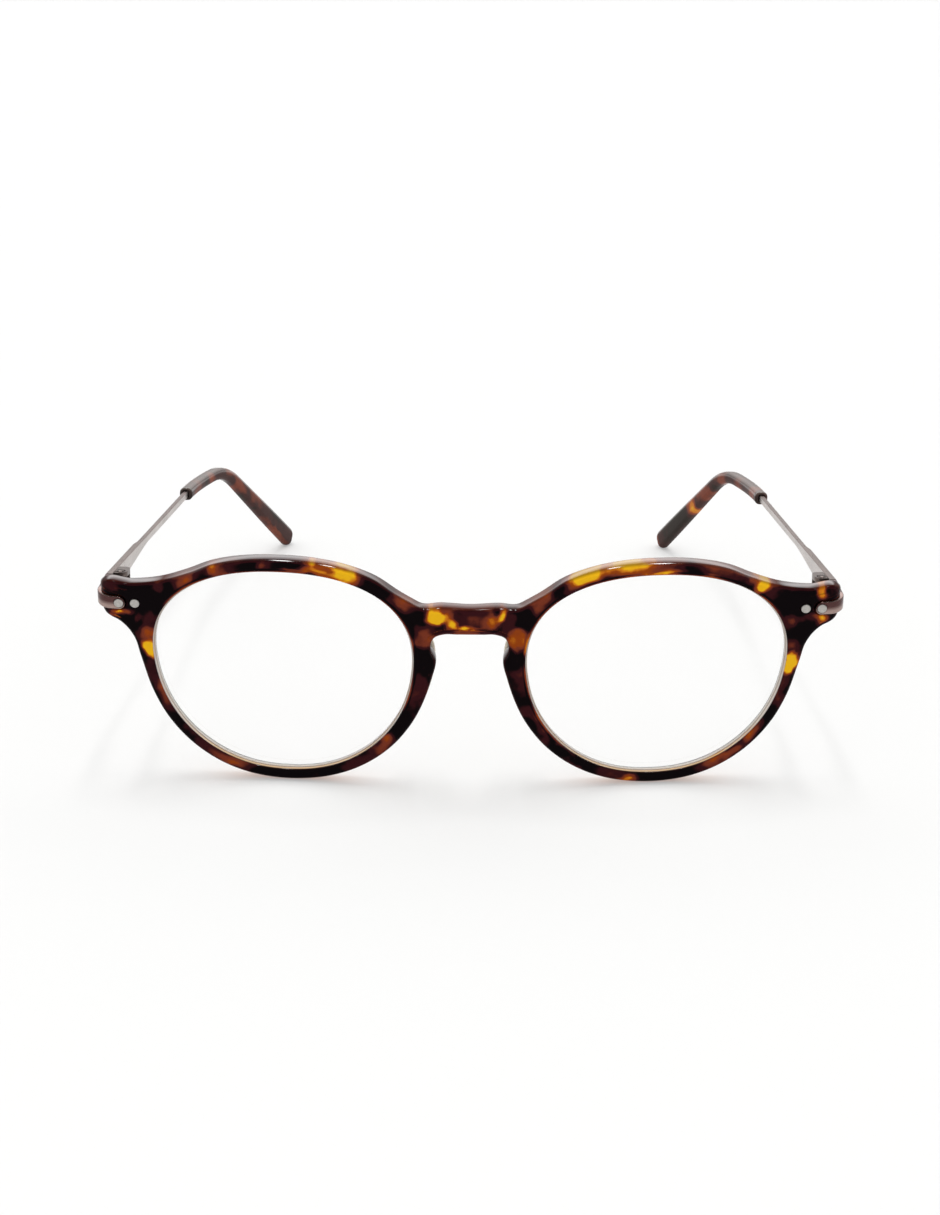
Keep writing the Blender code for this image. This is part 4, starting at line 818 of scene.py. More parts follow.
def colour_front(mesh, s, k, pose):
    """Attributes of the front: pigment, inner wall, depth along it, painted shade outside and how glossy it
    is.

    The ground is mottled and patches lie on it with outlines stirred by noise. Veins along the rim run
    through the clear ones. The outer walls are plainer and painted darker, painted shade against the strong
    light from above. The underside is painted amber, painted light that stands in for light let through
    the acetate, and the edge of each opening gets a thin amber line of painted light.
    """
    back = pose.inverted()
    local = moved(read_vectors(mesh.vertices, "co"), back)
    facing = read_vectors(mesh.vertex_normals, "vector") @ np.array(back.to_3x3()).T
    u, v = local[:, 0], local[:, 2]
    out_u, above = np.abs(u), v - k.lens_v
    depth = local[:, 1] - s.sag * (u / k.end_u) ** 2
    outside = opening_distance(s, k, u, v)
    wall = fade(np.abs(facing[:, 1]), 0.80, 0.40)
    inner = wall * (outside < WALL_REACH) * (np.abs(above) < s.lens_height)
    outer = wall * (1 - (inner > 0))

    swirl = np.column_stack([u, 0.6 * local[:, 1], v])
    swirl = swirl + np.column_stack([stirring(swirl, layers) for layers in SWIRL_LAYERS])
    ground = GROUND_PIGMENT + stirring(swirl, GROUND_LAYERS)
    pigment = blend_patches(ground, u + stirring(local, STIR_U_LAYERS), v + stirring(local, STIR_V_LAYERS),
                            FRONT_PATCHES, stirring(local, RAGGED_LAYERS))

    round_rim = RIM_RADIUS * np.arctan2(above, out_u - k.lens_u)
    veins = np.column_stack([round_rim, outside, depth]) * VEIN_STRETCH
    veins[:, 2] += SIDE_SHIFT * np.sign(u)
    clear = fade(pigment, 0.5, 0.2) * (0.3 + 0.7 * fade(pigment, 0.04, 0.24))
    pigment = pigment + clear * (VEIN_LIFT + stirring(veins, VEIN_LAYERS) + stirring(swirl, FLECK_LAYERS))
    pigment = pigment + stirring(swirl, CLOUD_LAYERS) * fade(pigment, 0, 0.4) * fade(pigment, 1.12, 0.82)

    # A thin amber line of painted light along the opening's front edge on its upper and nasal arcs, with
    # painted shade just outside it
    upper = fade(above, 0.009, 0.015)
    nasal = fade(k.lens_u - out_u, 0.012, 0.018) * fade(above, -0.016, -0.010)
    streak = lattice_noise(local, STREAK_CELL, STREAK_SEED)
    lit = np.maximum(upper, nasal) * fade(streak, 0.3, 0.6) * (depth < s.thickness / 2)
    line = 0.7 * lit * fade(outside, *LINE_BAND)
    shade = lit * fade(outside, *SHADE_BANDS[0]) * fade(outside, *SHADE_BANDS[1])
    pigment = pigment * (1 - line) + LINE_PIGMENT * line
    pigment = pigment + 0.22 * shade * (pigment > 0.3)

    # The underside is painted amber: painted light standing in for light let through the acetate, which
    # bounces warm light onto the floor below
    under = outer * fade(-facing[:, 2], 0.55, 0.90)
    pigment = pigment * (1 - outer) + outer * np.clip(0.06 + 0.66 * pigment, 0, 0.68)
    pigment = pigment * (1 - under) + under * UNDERSIDE_GLOW_PIGMENT
    crisp = fade(out_u, 0.050, 0.056) * (1 - fade(facing[:, 2], 0.955, 0.985))
    # Painted shade: this attribute darkens the outer walls' colour, against the strong light from above
    set_attribute(mesh, "gloomy", outer * (1 - under))
    set_attribute(mesh, "sheen", (0.5 + 0.5 * fade(out_u, 0.014, 0.026)) * (1 - 0.97 * crisp))
    set_attribute(mesh, "pigment", pigment)
    set_attribute(mesh, "wall", inner)
    set_attribute(mesh, "wall_depth", np.clip(depth / s.thickness, 0, 1))


def colour_tip(mesh, m, hinge, sign):
    """Pigment of a tip: mottled ground with patches placed along its bent centre line."""
    points = read_vectors(mesh.vertices, "co")
    local = moved(points * (sign, 1, 1), hinge.inverted())
    stops = np.linspace(m.temple_length - m.tip_length, m.temple_length, 400)
    centres, across, up = path_frames(m, stops)
    nearest = ((local[:, None] - centres) ** 2).sum(axis=-1).argmin(axis=1)
    along = stops[nearest]
    above = ((local - centres[nearest]) * up[nearest]).sum(axis=1)
    stir = stirring(points, TIP_STIR_LAYERS)
    patches = [(at, rise, half_long, half_tall, 0, tone)
               for which, at, rise, half_long, half_tall, tone in TIP_PATCHES if which == sign]
    ground = TIP_PIGMENT + stirring(points, TIP_GROUND_LAYERS)
    set_attribute(mesh, "pigment", blend_patches(ground, along + stir, above + stir, patches,
                                                 stirring(points, TIP_RAGGED_LAYERS),
                                                 TIP_PATCH_EDGE, TIP_PATCH_EDGE))


# Node graphs

ACETATE_TONES = ("Gold", "Amber", "Burnt", "Chestnut", "Oxblood", "Jet")
TONE_STEPS = ((0.10, 0.26), (0.26, 0.38), (0.40, 0.52), (0.54, 0.76), (0.82, 0.96))
GREY = (0.5, 0.5, 0.5, 1.0)
FINE_BUMP = 0.00003
SOFT_BUMP = 0.0002

# Scales of the fine patterns; three numbers stretch one into lines
SCRATCH_SCALE = (9000.0, 160.0, 9000.0)
SCRATCH_TURN = (0.3, 0.5, 0.7)
POLISH_SCALE = 260.0
TEMPLE_LINES = (6500.0, 110.0, 6500.0)
STRIP_LINES = (900.0, 900.0, 9000.0)
HINGE_LINES = (2600.0, 2600.0, 9000.0)
SCREW_LINES = (4000.0, 4000.0, 4000.0)

# Inner wall of a rim: places from its front edge to its back edge, with their tones
WALL_STOPS = (
    (0.0, (0.020, 0.008, 0.006)), (0.07, (0.040, 0.014, 0.009)), (0.12, (0.50, 0.34, 0.19)),
    (0.20, (0.60, 0.45, 0.29)), (0.25, (0.30, 0.19, 0.12)), (0.46, (0.30, 0.24, 0.20)),
    (0.52, (0.58, 0.54, 0.52)), (0.76, (0.60, 0.57, 0.55)), (0.83, (0.20, 0.17, 0.16)),
    (0.90, (0.06, 0.045, 0.04)), (1.0, (0.03, 0.02, 0.02)),
)
GILT = (1.0, 0.70, 0.30)
# Painted light on the inner walls that face sideways
SIDEWAYS_WALL_LIGHT = (0.64, 0.61, 0.59)
# Painted reflection on the tips: a pale tone, strongest on their upper faces
TIP_TOP_REFLECTION = (0.27, 0.225, 0.19)
TIP_TOP_REFLECTION_SHARES = (0.13, 0.36)


def put(tree, kind, inputs=None, **values):
    """A node with its settings and inputs; an input is a value or another node's socket."""
    made = tree.nodes.new(kind)
    for name, value in values.items():
        setattr(made, name, value)
    for key, value in (inputs or {}).items():
        if isinstance(value, bpy.types.NodeSocket):
            tree.links.new(value, made.inputs[key])
        else:
            made.inputs[key].default_value = value
    return made


def start_group(name, inputs, outputs):
    """A shader node group with named sockets: name, kind and default."""
    group = bpy.data.node_groups.new(name, "ShaderNodeTree")
    for label, kind, value in inputs:
        socket = group.interface.new_socket(name=label, in_out="INPUT", socket_type="NodeSocket" + kind)
        socket.default_value = value
    for label, kind in outputs:
        group.interface.new_socket(name=label, in_out="OUTPUT", socket_type="NodeSocket" + kind)
    return group, group.nodes.new("NodeGroupInput").outputs, group.nodes.new("NodeGroupOutput").inputs


def use_group(tree, name, make, inputs):
    """The outputs of a shared group placed in a material, which makes the group if none has yet."""
    group = bpy.data.node_groups.get(name) or make(name)
    return put(tree, "ShaderNodeGroup", inputs, node_tree=group).outputs


def maths(tree, operation, first, second=0.0):
    return put(tree, "ShaderNodeMath", {0: first, 1: second}, operation=operation).outputs[0]


def product(tree, first, *others):
    for other in others:
        first = maths(tree, "MULTIPLY", first, other)
    return first


def total(tree, first, second):
    return maths(tree, "ADD", first, second)


def less(tree, first, second):
    return maths(tree, "SUBTRACT", first, second)


def size_of(tree, value):
    return maths(tree, "ABSOLUTE", value)


def ramp(tree, value, low, high, start=0.0, end=1.0, kind="SMOOTHSTEP"):
    """Maps low to high onto start to end: level at both ends, or straight when the kind is LINEAR."""
    return put(tree, "ShaderNodeMapRange", {"Value": value, "From Min": low, "From Max": high,
                                            "To Min": start, "To Max": end},
               interpolation_type=kind).outputs["Result"]


def mix(tree, share, first, second):
    return put(tree, "ShaderNodeMix", {0: share, 6: first, 7: second}, data_type="RGBA").outputs[2]


def noise(tree, place, scale, detail=2.0, roughness=0.5, distortion=0.0):
    return put(tree, "ShaderNodeTexNoise", {"Vector": place, "Scale": scale, "Detail": detail,
                                            "Roughness": roughness, "Distortion": distortion}).outputs[0]


def bump(tree, height, strength, distance):
    made = put(tree, "ShaderNodeBump", {"Height": height, "Strength": strength, "Distance": distance})
    return made.outputs[0]


def times(tree, tone, other):
    """Two colours or vectors multiplied channel by channel."""
    return put(tree, "ShaderNodeVectorMath", {0: tone, 1: other}, operation="MULTIPLY").outputs[0]


def scaled(tree, tone, by):
    return put(tree, "ShaderNodeVectorMath", {0: tone, "Scale": by}, operation="SCALE").outputs[0]


def object_place(tree):
    return put(tree, "ShaderNodeTexCoord").outputs["Object"]


def normal_part(tree, axis):
    """One coordinate of the surface's own normal."""
    normal = put(tree, "ShaderNodeTexCoord").outputs["Normal"]
    return put(tree, "ShaderNodeSeparateXYZ", {0: normal}).outputs[axis]


def attribute(tree, name):
    return put(tree, "ShaderNodeAttribute", attribute_name=name).outputs["Fac"]


def opaque(tone, gains=(1.0, 1.0, 1.0)):
    """A tone with full alpha, each channel times its gain and no brighter than white."""
    return (*(min(1.0, part * gain) for part, gain in zip(tone, gains)), 1.0)


def new_material(name, **values):
    """A material, its tree and its Principled BSDF, with plain values on the shader's own sockets."""
    finish = bpy.data.materials.new(name)
    finish.use_nodes = True
    shader = finish.node_tree.nodes["Principled BSDF"]
    for key, value in values.items():
        shader.inputs[key.replace("_", " ")].default_value = value
    return finish, finish.node_tree, shader


def feed(tree, shader, **sockets):
    """Links what changes over the surface to the shader's inputs of the same names."""
    for key, socket in sockets.items():
        tree.links.new(socket, shader.inputs[key.replace("_", " ")])


def handled_group(name):
    """Marks of handling: faint smears in the gloss and fine hairline scratches."""
    group, given, result = start_group(
        name,
        [("Smear Size", "Float", 90.0), ("Clean Roughness", "Float", 0.08),
         ("Smeared Roughness", "Float", 0.2)],
        [("Roughness", "Float"), ("Height", "Float")])
    place = object_place(group)
    smear = ramp(group, noise(group, place, given["Smear Size"], 3.0, 0.6, 0.8), 0.45, 0.75)
    stretched = put(group, "ShaderNodeMapping", {"Vector": place, "Rotation": SCRATCH_TURN,
                                                 "Scale": SCRATCH_SCALE}).outputs[0]
    scratch = ramp(group, noise(group, stretched, 1.0, 1.0), 0.70, 0.82)
    wear_and_highlight = total(group, product(group, smear, 0.8), product(group, scratch, 0.3))
    span = less(group, given["Smeared Roughness"], given["Clean Roughness"])
    group.links.new(total(group, given["Clean Roughness"], product(group, wear_and_highlight, span)), result["Roughness"])
    polish = noise(group, place, POLISH_SCALE)
    group.links.new(less(group, polish, product(group, scratch, 0.12)), result["Height"])
    return group


def tortoise_group(name):
    """Tortoise acetate: pigment runs from gold through amber and red-brown to black."""
    group, given, result = start_group(
        name,
        [("Pigment", "Float", 0.8), ("Mottle", "Float", 0.18), ("Mottle Size", "Float", 620.0)]
        + [(tone, "Color", GREY) for tone in ACETATE_TONES],
        [("Color", "Color"), ("Depth", "Float")])
    place = object_place(group)
    cloud = noise(group, place, given["Mottle Size"], 3.0, 0.55, 0.6)
    wide = noise(group, place, product(group, given["Mottle Size"], 0.35), 2.0, 0.5, 0.4)
    stirred = total(group, less(group, cloud, 0.5), product(group, less(group, wide, 0.5), 0.8))
    pigment = total(group, given["Pigment"], product(group, stirred, given["Mottle"]))
    tone = given[ACETATE_TONES[0]]
    for darker, (low, high) in zip(ACETATE_TONES[1:], TONE_STEPS):
        tone = mix(group, ramp(group, pigment, low, high), tone, given[darker])
    group.links.new(tone, result["Color"])
    group.links.new(pigment, result["Depth"])
    return group


def satin_group(name):
    """Satin metal: fine lines along one direction, with slow changes in tone."""
    group, given, result = start_group(
        name,
        [("Color", "Color", GREY), ("Line Scale", "Vector", (7000.0, 120.0, 7000.0)),
         ("Roughness", "Float", 0.3)],
        [("Color", "Color"), ("Roughness", "Float"), ("Height", "Float")])
    place = object_place(group)
    lines = noise(group, times(group, place, given["Line Scale"]), 1.0, 3.0, 0.6)
    slow = noise(group, place, 140.0)
    both = total(group, product(group, lines, 0.5), product(group, slow, 0.5))
    shade = ramp(group, both, 0.35, 0.65, 0.84, 1.14, "LINEAR")
    uneven = ramp(group, lines, 0.3, 0.7, -0.05, 0.07, "LINEAR")
    group.links.new(scaled(group, given["Color"], shade), result["Color"])
    group.links.new(total(group, given["Roughness"], uneven), result["Roughness"])
    group.links.new(lines, result["Height"])
    return group


def handled(tree, values):
    return use_group(tree, "Handled surface", handled_group, values)


def satin(tree, tone, line_scale, roughness):
    return use_group(tree, "Satin metal", satin_group,
                     {"Color": tone, "Line Scale": line_scale, "Roughness": roughness})


def polished_specular(tree, straight, grazing):
    """Polish that mirrors little seen straight on, and more on slanting faces that look up to the light."""
    facing = put(tree, "ShaderNodeLayerWeight", {"Blend": 0.5}).outputs["Facing"]
    upper = ramp(tree, normal_part(tree, "Z"), 0.05, 0.5, straight, grazing)
    return ramp(tree, facing, 0.165, 0.25, straight, upper)


def wall_colour(tree, pigment):
    """Colour of the rim's inner wall in bands by depth, from its dark front edge to its back edge.

    Beside a gold or amber patch the wall is golden, elsewhere it is tan and grey. The walls that face
    sideways are painted paler and greyer: painted light that goes with the way they face.
    """
    made = put(tree, "ShaderNodeValToRGB", {"Fac": attribute(tree, "wall_depth")})
    elements = made.color_ramp.elements
    while len(elements) < len(WALL_STOPS):
        elements.new(0.5)
    for element, (place, tone) in zip(elements, WALL_STOPS):
        element.position = place
        element.color = opaque(tone)
    plain = made.outputs["Color"]
    warm = mix(tree, ramp(tree, pigment, 0.35, 0.7), times(tree, plain, GILT), plain)
    # Painted light: walls that face sideways are made paler and greyer
    sideways = size_of(tree, normal_part(tree, "X"))
    return mix(tree, ramp(tree, sideways, 0.55, 0.92, 0.0, 0.7), warm, opaque(SIDEWAYS_WALL_LIGHT))


def acetate_material(name, grazing, is_front):
    """Glossy tortoise. The front has a rim's inner wall and outer walls with painted shade,
    the tips a painted pale reflection.
    """
    colours = bpy.context.scene.glasses_finishes
    finish, tree, shader = new_material(name)
    pigment = attribute(tree, "pigment")
    tones = {label: opaque(getattr(colours, label.lower())) for label in ACETATE_TONES}
    tortoise = use_group(tree, "Tortoise", tortoise_group, {"Pigment": pigment, "Mottle": 0.14, **tones})
    tone = tortoise["Color"]
    if is_front:
        # Painted shade darkens the outer walls
        tone = scaled(tree, tone, ramp(tree, attribute(tree, "gloomy"), 0.0, 1.0, 1.0, 0.42))
        tone = mix(tree, attribute(tree, "wall"), tone, wall_colour(tree, pigment))
        grazing = product(tree, attribute(tree, "sheen"), grazing)
    else:
        # Painted reflection: the tips are paler, most of all on the faces that look up
        top_reflection = ramp(tree, normal_part(tree, "Z"), 0.1, 0.85, *TIP_TOP_REFLECTION_SHARES)
        tone = mix(tree, top_reflection, tone, opaque(TIP_TOP_REFLECTION))
    marks = handled(tree, {"Clean Roughness": 0.055, "Smeared Roughness": 0.15})
    feed(tree, shader, Base_Color=tone, Specular_IOR_Level=polished_specular(tree, 0.012, grazing),
         Roughness=marks["Roughness"], Normal=bump(tree, marks["Height"], 0.06, SOFT_BUMP))
    return finish


def metal_material(name, tone, roughness, line_scale, edge_tone=None):
    """Satin metal; an edge tone colours the faces that look up and down."""
    finish, tree, shader = new_material(name, Metallic=1.0)
    body = opaque(tone)
    if edge_tone is not None:
        level = ramp(tree, size_of(tree, normal_part(tree, "Z")), 0.3, 0.75)
        body = mix(tree, level, body, opaque(edge_tone))
    lines = satin(tree, body, line_scale, roughness)
    feed(tree, shader, Base_Color=lines["Color"], Roughness=lines["Roughness"],
         Normal=bump(tree, lines["Height"], 0.12, FINE_BUMP))
    return finish


def strip_material():
    """Bronze painted darker towards its top edge and lighter below, with bright edges: painted light and
    painted highlights.
    """
    tone = bpy.context.scene.glasses_finishes.bronze
    finish, tree, shader = new_material("bronze strip", Metallic=1.0)
    rise = attribute(tree, "rise")
    # Painted light: a brighter copy of the bronze low on the strip and a darker copy near its top
    body = mix(tree, ramp(tree, rise, -0.6, 0.25), opaque(tone, (1.7, 1.7, 1.7)),
               opaque(tone, (0.40, 0.26, 0.28)))
    lines = satin(tree, body, STRIP_LINES, 0.24)
    # Painted highlights along the strip's top and bottom edges
    wear_and_highlight = ramp(tree, size_of(tree, rise), 0.88, 0.97, 0.0, 0.6)
    feed(tree, shader, Base_Color=mix(tree, wear_and_highlight, lines["Color"], scaled(tree, tuple(tone), 2.0)),
         Roughness=lines["Roughness"], Normal=bump(tree, lines["Height"], 0.12, FINE_BUMP))
    return finish


def rivet_material():
    """Matt silver with faint turned rings and small dents on the head, and painted shade round its rim."""
    tone = bpy.context.scene.glasses_finishes.silver
    finish, tree, shader = new_material("rivet silver", Metallic=1.0)
    radius = attribute(tree, "turned")
    rings = maths(tree, "SINE", product(tree, radius, 60.0))
    dents = noise(tree, object_place(tree), 2600.0, 2.0, 0.6)
    # Painted shade: the head darkens towards its rounded edge and the shank
    shade = product(tree, ramp(tree, dents, 0.3, 0.7, 0.80, 1.08, "LINEAR"),
                    ramp(tree, radius, 0.86, 1.0, 1.0, 0.55))
    height = total(tree, product(tree, rings, 0.12), dents)
    feed(tree, shader, Base_Color=scaled(tree, tuple(tone), shade),
         Roughness=ramp(tree, dents, 0.3, 0.7, 0.34, 0.5, "LINEAR"), Normal=bump(tree, height, 0.5, 0.00004))
    return finish


def lens_materials():
    """Clear polished faces with the faintest smears, and a frosted ground edge."""
    clear, tree, shader = new_material("clear lens", Transmission_Weight=1.0, IOR=1.5,
                                       Base_Color=(1.0, 1.0, 1.0, 1.0))
    marks = handled(tree, {"Smear Size": 60.0, "Clean Roughness": 0.0, "Smeared Roughness": 0.012})
    feed(tree, shader, Roughness=marks["Roughness"])
    tone = bpy.context.scene.glasses_finishes.frost
    ground, tree, shader = new_material("ground lens edge")
    grain = noise(tree, object_place(tree), 5200.0, 2.0, 0.6)
    pale = mix(tree, ramp(tree, grain, 0.3, 0.7), opaque(tone, (0.86, 0.86, 0.86)), opaque(tone))
    seam = ramp(tree, attribute(tree, "seam"), 0.1, 0.5)
    feed(tree, shader, Base_Color=mix(tree, seam, pale, opaque(tone, (0.16, 0.16, 0.16))),
         Roughness=ramp(tree, grain, 0.3, 0.7, 0.4, 0.6, "LINEAR"), Normal=bump(tree, grain, 0.3, FINE_BUMP))
    return clear, ground


def pad_material():
    """Pale translucent plastic, slightly cloudy inside."""
    tone = bpy.context.scene.glasses_finishes.cream
    finish, tree, shader = new_material("cream pad", Transmission_Weight=0.35, IOR=1.46)
    cloud = ramp(tree, noise(tree, object_place(tree), 380.0), 0.3, 0.7)
    marks = handled(tree, {"Clean Roughness": 0.16, "Smeared Roughness": 0.3})
    feed(tree, shader, Base_Color=mix(tree, cloud, opaque(tone), opaque(tone, (1.14, 1.14, 1.14))),
         Roughness=marks["Roughness"], Normal=bump(tree, marks["Height"], 0.1, SOFT_BUMP))
    return finish


# Operators

def strip_solid(s, m, k, pose, hinge, outward=0.0, extra=0.0, deeper=0.0):
    """A flat strip with a round end on the front, a bent corner and a leg back to the temple.

    Outward shifts its middle out of the front, extra widens it all round and deeper thickens it.
    """
    to_front = pose.inverted() @ hinge
    up_rear = moved([(0, 0, 1)], to_front)[0] - moved([(0, 0, 0)], to_front)[0]
    up_front = np.array([0.0, 0.0, 1.0])
    half = m.strip_height / 2 + extra
    depth = k.strip_middle_depth - outward
    corner_u, radius = k.strip_middle_u + outward, m.strip_corner + outward
    round_share = 1 - np.cos(np.linspace(0.12, QUARTER, STRIP_TURN_PLACES))
    round_end = on_front(s, k, k.strip_inner_u - extra + half * round_share, depth, k.strip_v)
    round_halves = half * np.sqrt(np.clip(1 - (1 - round_share) ** 2, 0, 1))
    run = on_front(s, k, np.linspace(round_end[-1, 0], corner_u - radius, 6)[1:-1], depth, k.strip_v)
    angle = np.linspace(0, QUARTER, STRIP_TURN_PLACES)
    bend = on_front(s, k, corner_u - radius + radius * np.sin(angle), depth + radius * (1 - np.cos(angle)),
                    k.strip_v)
    middle = m.hinge_inset - m.strip_thickness / 2
    rear = moved([(middle, -m.temple_lead - m.joint_gap, 0)], to_front)[0] + (outward, 0, 0)
    share = np.linspace(0, 1, STRIP_LEG_PLACES + 1)[1:, None]
    leg = bend[-1] + (rear - bend[-1]) * share
    path = np.concatenate([round_end, run, bend, leg])
    rear_half = m.hinge_height / 2 + extra
    halves = np.concatenate([round_halves, np.full(len(run) + len(bend), half),
                             half + (rear_half - half) * smooth(share[:, 0])])
    turning = np.concatenate([np.zeros(len(round_end) + len(run)), angle / QUARTER, np.ones(len(leg))])
    ups = unit(up_front + (up_rear - up_front) * turning[:, None])
    across = unit(np.cross(unit(np.gradient(path, axis=0)), ups))
    half_thickness = (m.strip_thickness + deeper) / 2
    sections = [rounded_rectangle(half_thickness, tall, m.strip_edge, 4) for tall in halves]
    points, faces = loft(carried(sections, path, across, ups))
    return moved(points, pose), faces


def pin(s, k, pose, u, profile, sides=HOLE_SIDES):
    """A turned pin through the front: a circle of the profile's radius at each of its depths."""
    depth, radius = np.transpose(profile)[:, :, None]
    ring = circle(1, sides)
    sag = on_front(s, k, u, 0, 0)[1]
    rings = np.stack(np.broadcast_arrays(u + radius * ring[:, 0], depth + sag,
                                         k.strip_v + radius * ring[:, 1]), axis=-1)
    points, faces = loft(rings)
    return moved(points, pose), faces


class GLASSES_OT_front(Operator):
    """Builds the acetate front with its lens grooves, strip pockets and rivet holes"""
    bl_idname = "glasses.front"
    bl_label = "Build the front"

    def execute(self, context):
        s, m, k, pose, hinge = settings()
        rows, open_stations, first_outer, last_outer = front_rows(s, k)
        around, stations = rows.shape[:2]
        i, j = np.meshgrid(np.arange(around), np.arange(stations), indexing="ij")
        following, beside = (j + 1) % stations, (i + 1) % around
        quads = np.stack([i * stations + j, i * stations + following, beside * stations + following,
                          beside * stations + j], axis=-1)
        seam = (j >= open_stations - 1) & (i >= first_outer) & (i < last_outer)
        used, quads = np.unique(quads[~seam], return_inverse=True)
        quads = quads.reshape(-1, 4)
        half = rows.reshape(-1, 3)[used]
        half[np.abs(half[:, 0]) < ON_MIDDLE, 0] = 0
        points = np.concatenate([half, half * (-1, 1, 1)])
        faces = np.concatenate([quads, quads[:, ::-1] + len(half)]).tolist()
        mesh = make_mesh("front", moved(points, pose), faces, weld=WELD, crease=50)
        hole_radius = m.rivet_diameter / 2 + m.rivet_clearance
        pocket = strip_solid(s, m, k, pose, hinge, POCKET_OUTWARD, m.pocket_clearance,
                             s.seat_gap + CUT_OVERRUN)
        hole = pin(s, k, pose, k.inner_rivet_u, ((-CUT_OVERRUN, hole_radius), (HOLE_DEPTH, hole_radius)))
        holes = [(part_points * (sign, 1, 1), part_faces)
                 for side, sign in SIDES for part_points, part_faces in (pocket, hole)]
        mesh = cut(mesh, "front", make_mesh("pockets", *joined(holes)), crease=40)
        colour_front(mesh, s, k, pose)
        add_piece("acetate_front", mesh, "front", "front_acetate", "front_frame",
                  acetate_material("tortoise front", 1.0, True))
        return {"FINISHED"}


class GLASSES_OT_lenses(Operator):
    """Builds the two clear lenses with their ground edges"""
    bl_idname = "glasses.lenses"
    bl_label = "Build the lenses"

    def execute(self, context):
        s, m, k, pose, hinge = settings()
        clear, ground = lens_materials()
        clock = np.arange(LENS_STATIONS) * 2 * math.pi / LENS_STATIONS
        curve, outward = lens_curve(s, clock), lens_normal(s, clock)
        centre = np.array([k.lens_u, k.lens_v])
        middle, half = s.thickness / 2, s.lens_edge / 2
        slope = s.groove_width / 2 - s.lens_clearance
        back_slope = min(slope, half - s.lens_back_line - s.lens_line)
        centre_sag = s.sag * (k.lens_u / k.end_u) ** 2

        def face_ring(share, edge_depth, height):
            edge = leaned(s, k, curve - outward * s.lens_clearance, edge_depth)
            edge_sag = s.sag * (edge[:, 0] / k.end_u) ** 2
            place = centre + (edge - centre) * share
            depth = edge_depth - height * (1 - share ** 2) + centre_sag + (edge_sag - centre_sag) * share
            return np.column_stack([place[:, 0], depth, place[:, 1]])

        shares = np.concatenate([[LENS_INNERMOST_SHARE], np.linspace(0, 1, LENS_RINGS + 1)[1:]])
        rings = [face_ring(share, middle - half, s.lens_bulge) for share in shares]
        first = len(rings) - 1
        inset = -s.lens_clearance
        for lift, depth in ((inset, middle - half + s.lens_line), (inset, middle - slope),
                            (s.lens_bevel, middle), (inset, middle + back_slope),
                            (inset, middle + half - s.lens_back_line)):
            place = leaned(s, k, curve + outward * lift, depth)
            rings.append(on_front(s, k, place[:, 0], depth, place[:, 1]))
        last = len(rings)
        rings += [face_ring(share, middle + half, s.lens_hollow) for share in shares[::-1]]
        points, faces = loft(moved(rings, pose))
        seam = np.zeros(len(rings))
        seam[[first, last - 1, last]] = (1, 0.35, 1)
        edge_faces = np.zeros(len(faces), dtype=np.int32)
        edge_faces[first * LENS_STATIONS:last * LENS_STATIONS] = 1
        for side, sign in SIDES:
            name = side + "_clear_lens"
            mesh = make_mesh(name, points, faces, sign, crease=30)
            set_attribute(mesh, "seam", np.repeat(seam, LENS_STATIONS))
            piece = add_piece(name, mesh, "front", "clear_lens", side + "_lens", clear, ground)
            mesh.polygons.foreach_set("material_index", edge_faces)
            piece.visible_shadow = False
            piece.visible_diffuse = False
        return {"FINISHED"}


def closed_spline(points, steps=10):
    """Closed cubic curve through the points, with slopes from each point's two neighbours."""
    share = (np.arange(steps) / steps)[:, None]
    before, end, after = (np.roll(points, shift, 0) for shift in (1, -1, -2))
    return np.concatenate([cubic(share, b, (c - a) / 2, c, (d - b) / 2)
                           for a, b, c, d in zip(before, points, end, after)])


class GLASSES_OT_nose_pads(Operator):
    """Builds the two pads cemented behind the nasal rims"""
    bl_idname = "glasses.nose_pads"
    bl_label = "Build the nose pads"

    def execute(self, context):
        s, m, k, pose, hinge = settings()
        corners_of_section = np.array(PAD_SECTION_SHARES)
        middle = corners_of_section.mean(axis=0)
        base = np.linspace(corners_of_section[0], corners_of_section[1], 8)[:-1]
        section = np.concatenate([base, closed_spline(corners_of_section)[10:]])
        top_v = k.crown_v - s.crown_corner - s.pad_top_drop
        ends = np.linspace(PAD_END_ANGLE, math.pi - PAD_END_ANGLE, PAD_RINGS)
        rings = []
        for share in (1 - np.cos(ends)) / 2:
            v = top_v - s.pad_length * share
            clock = math.pi + math.asin((k.lens_v - v) / (s.lens_height / 2))
            reach = s.pad_top_reach + (s.pad_low_reach - s.pad_top_reach) * share
            swell = math.sin(math.pi * share) ** PAD_SWELL_POWER
            shaped = middle + (section - middle) * swell
            shaped[:, 1] = section[:, 1] * swell
            distance = s.pad_inset + (reach - s.pad_inset) * shaped[:, 0]
            place = lens_curve(s, clock) + distance[:, None] * lens_normal(s, clock)
            depth = s.thickness + s.seat_gap + s.pad_depth * shaped[:, 1]
            rings.append(on_front(s, k, place[:, 0], depth, place[:, 1]))
        points, faces = loft(moved(rings, pose))
        finish = pad_material()
        for side, sign in SIDES:
            name = side + "_cemented_pad"
            mesh = make_mesh(name, points, faces, sign, crease=45)
            add_piece(name, mesh, "front", "pad_plastic", side + "_nose_pad", finish)
        return {"FINISHED"}


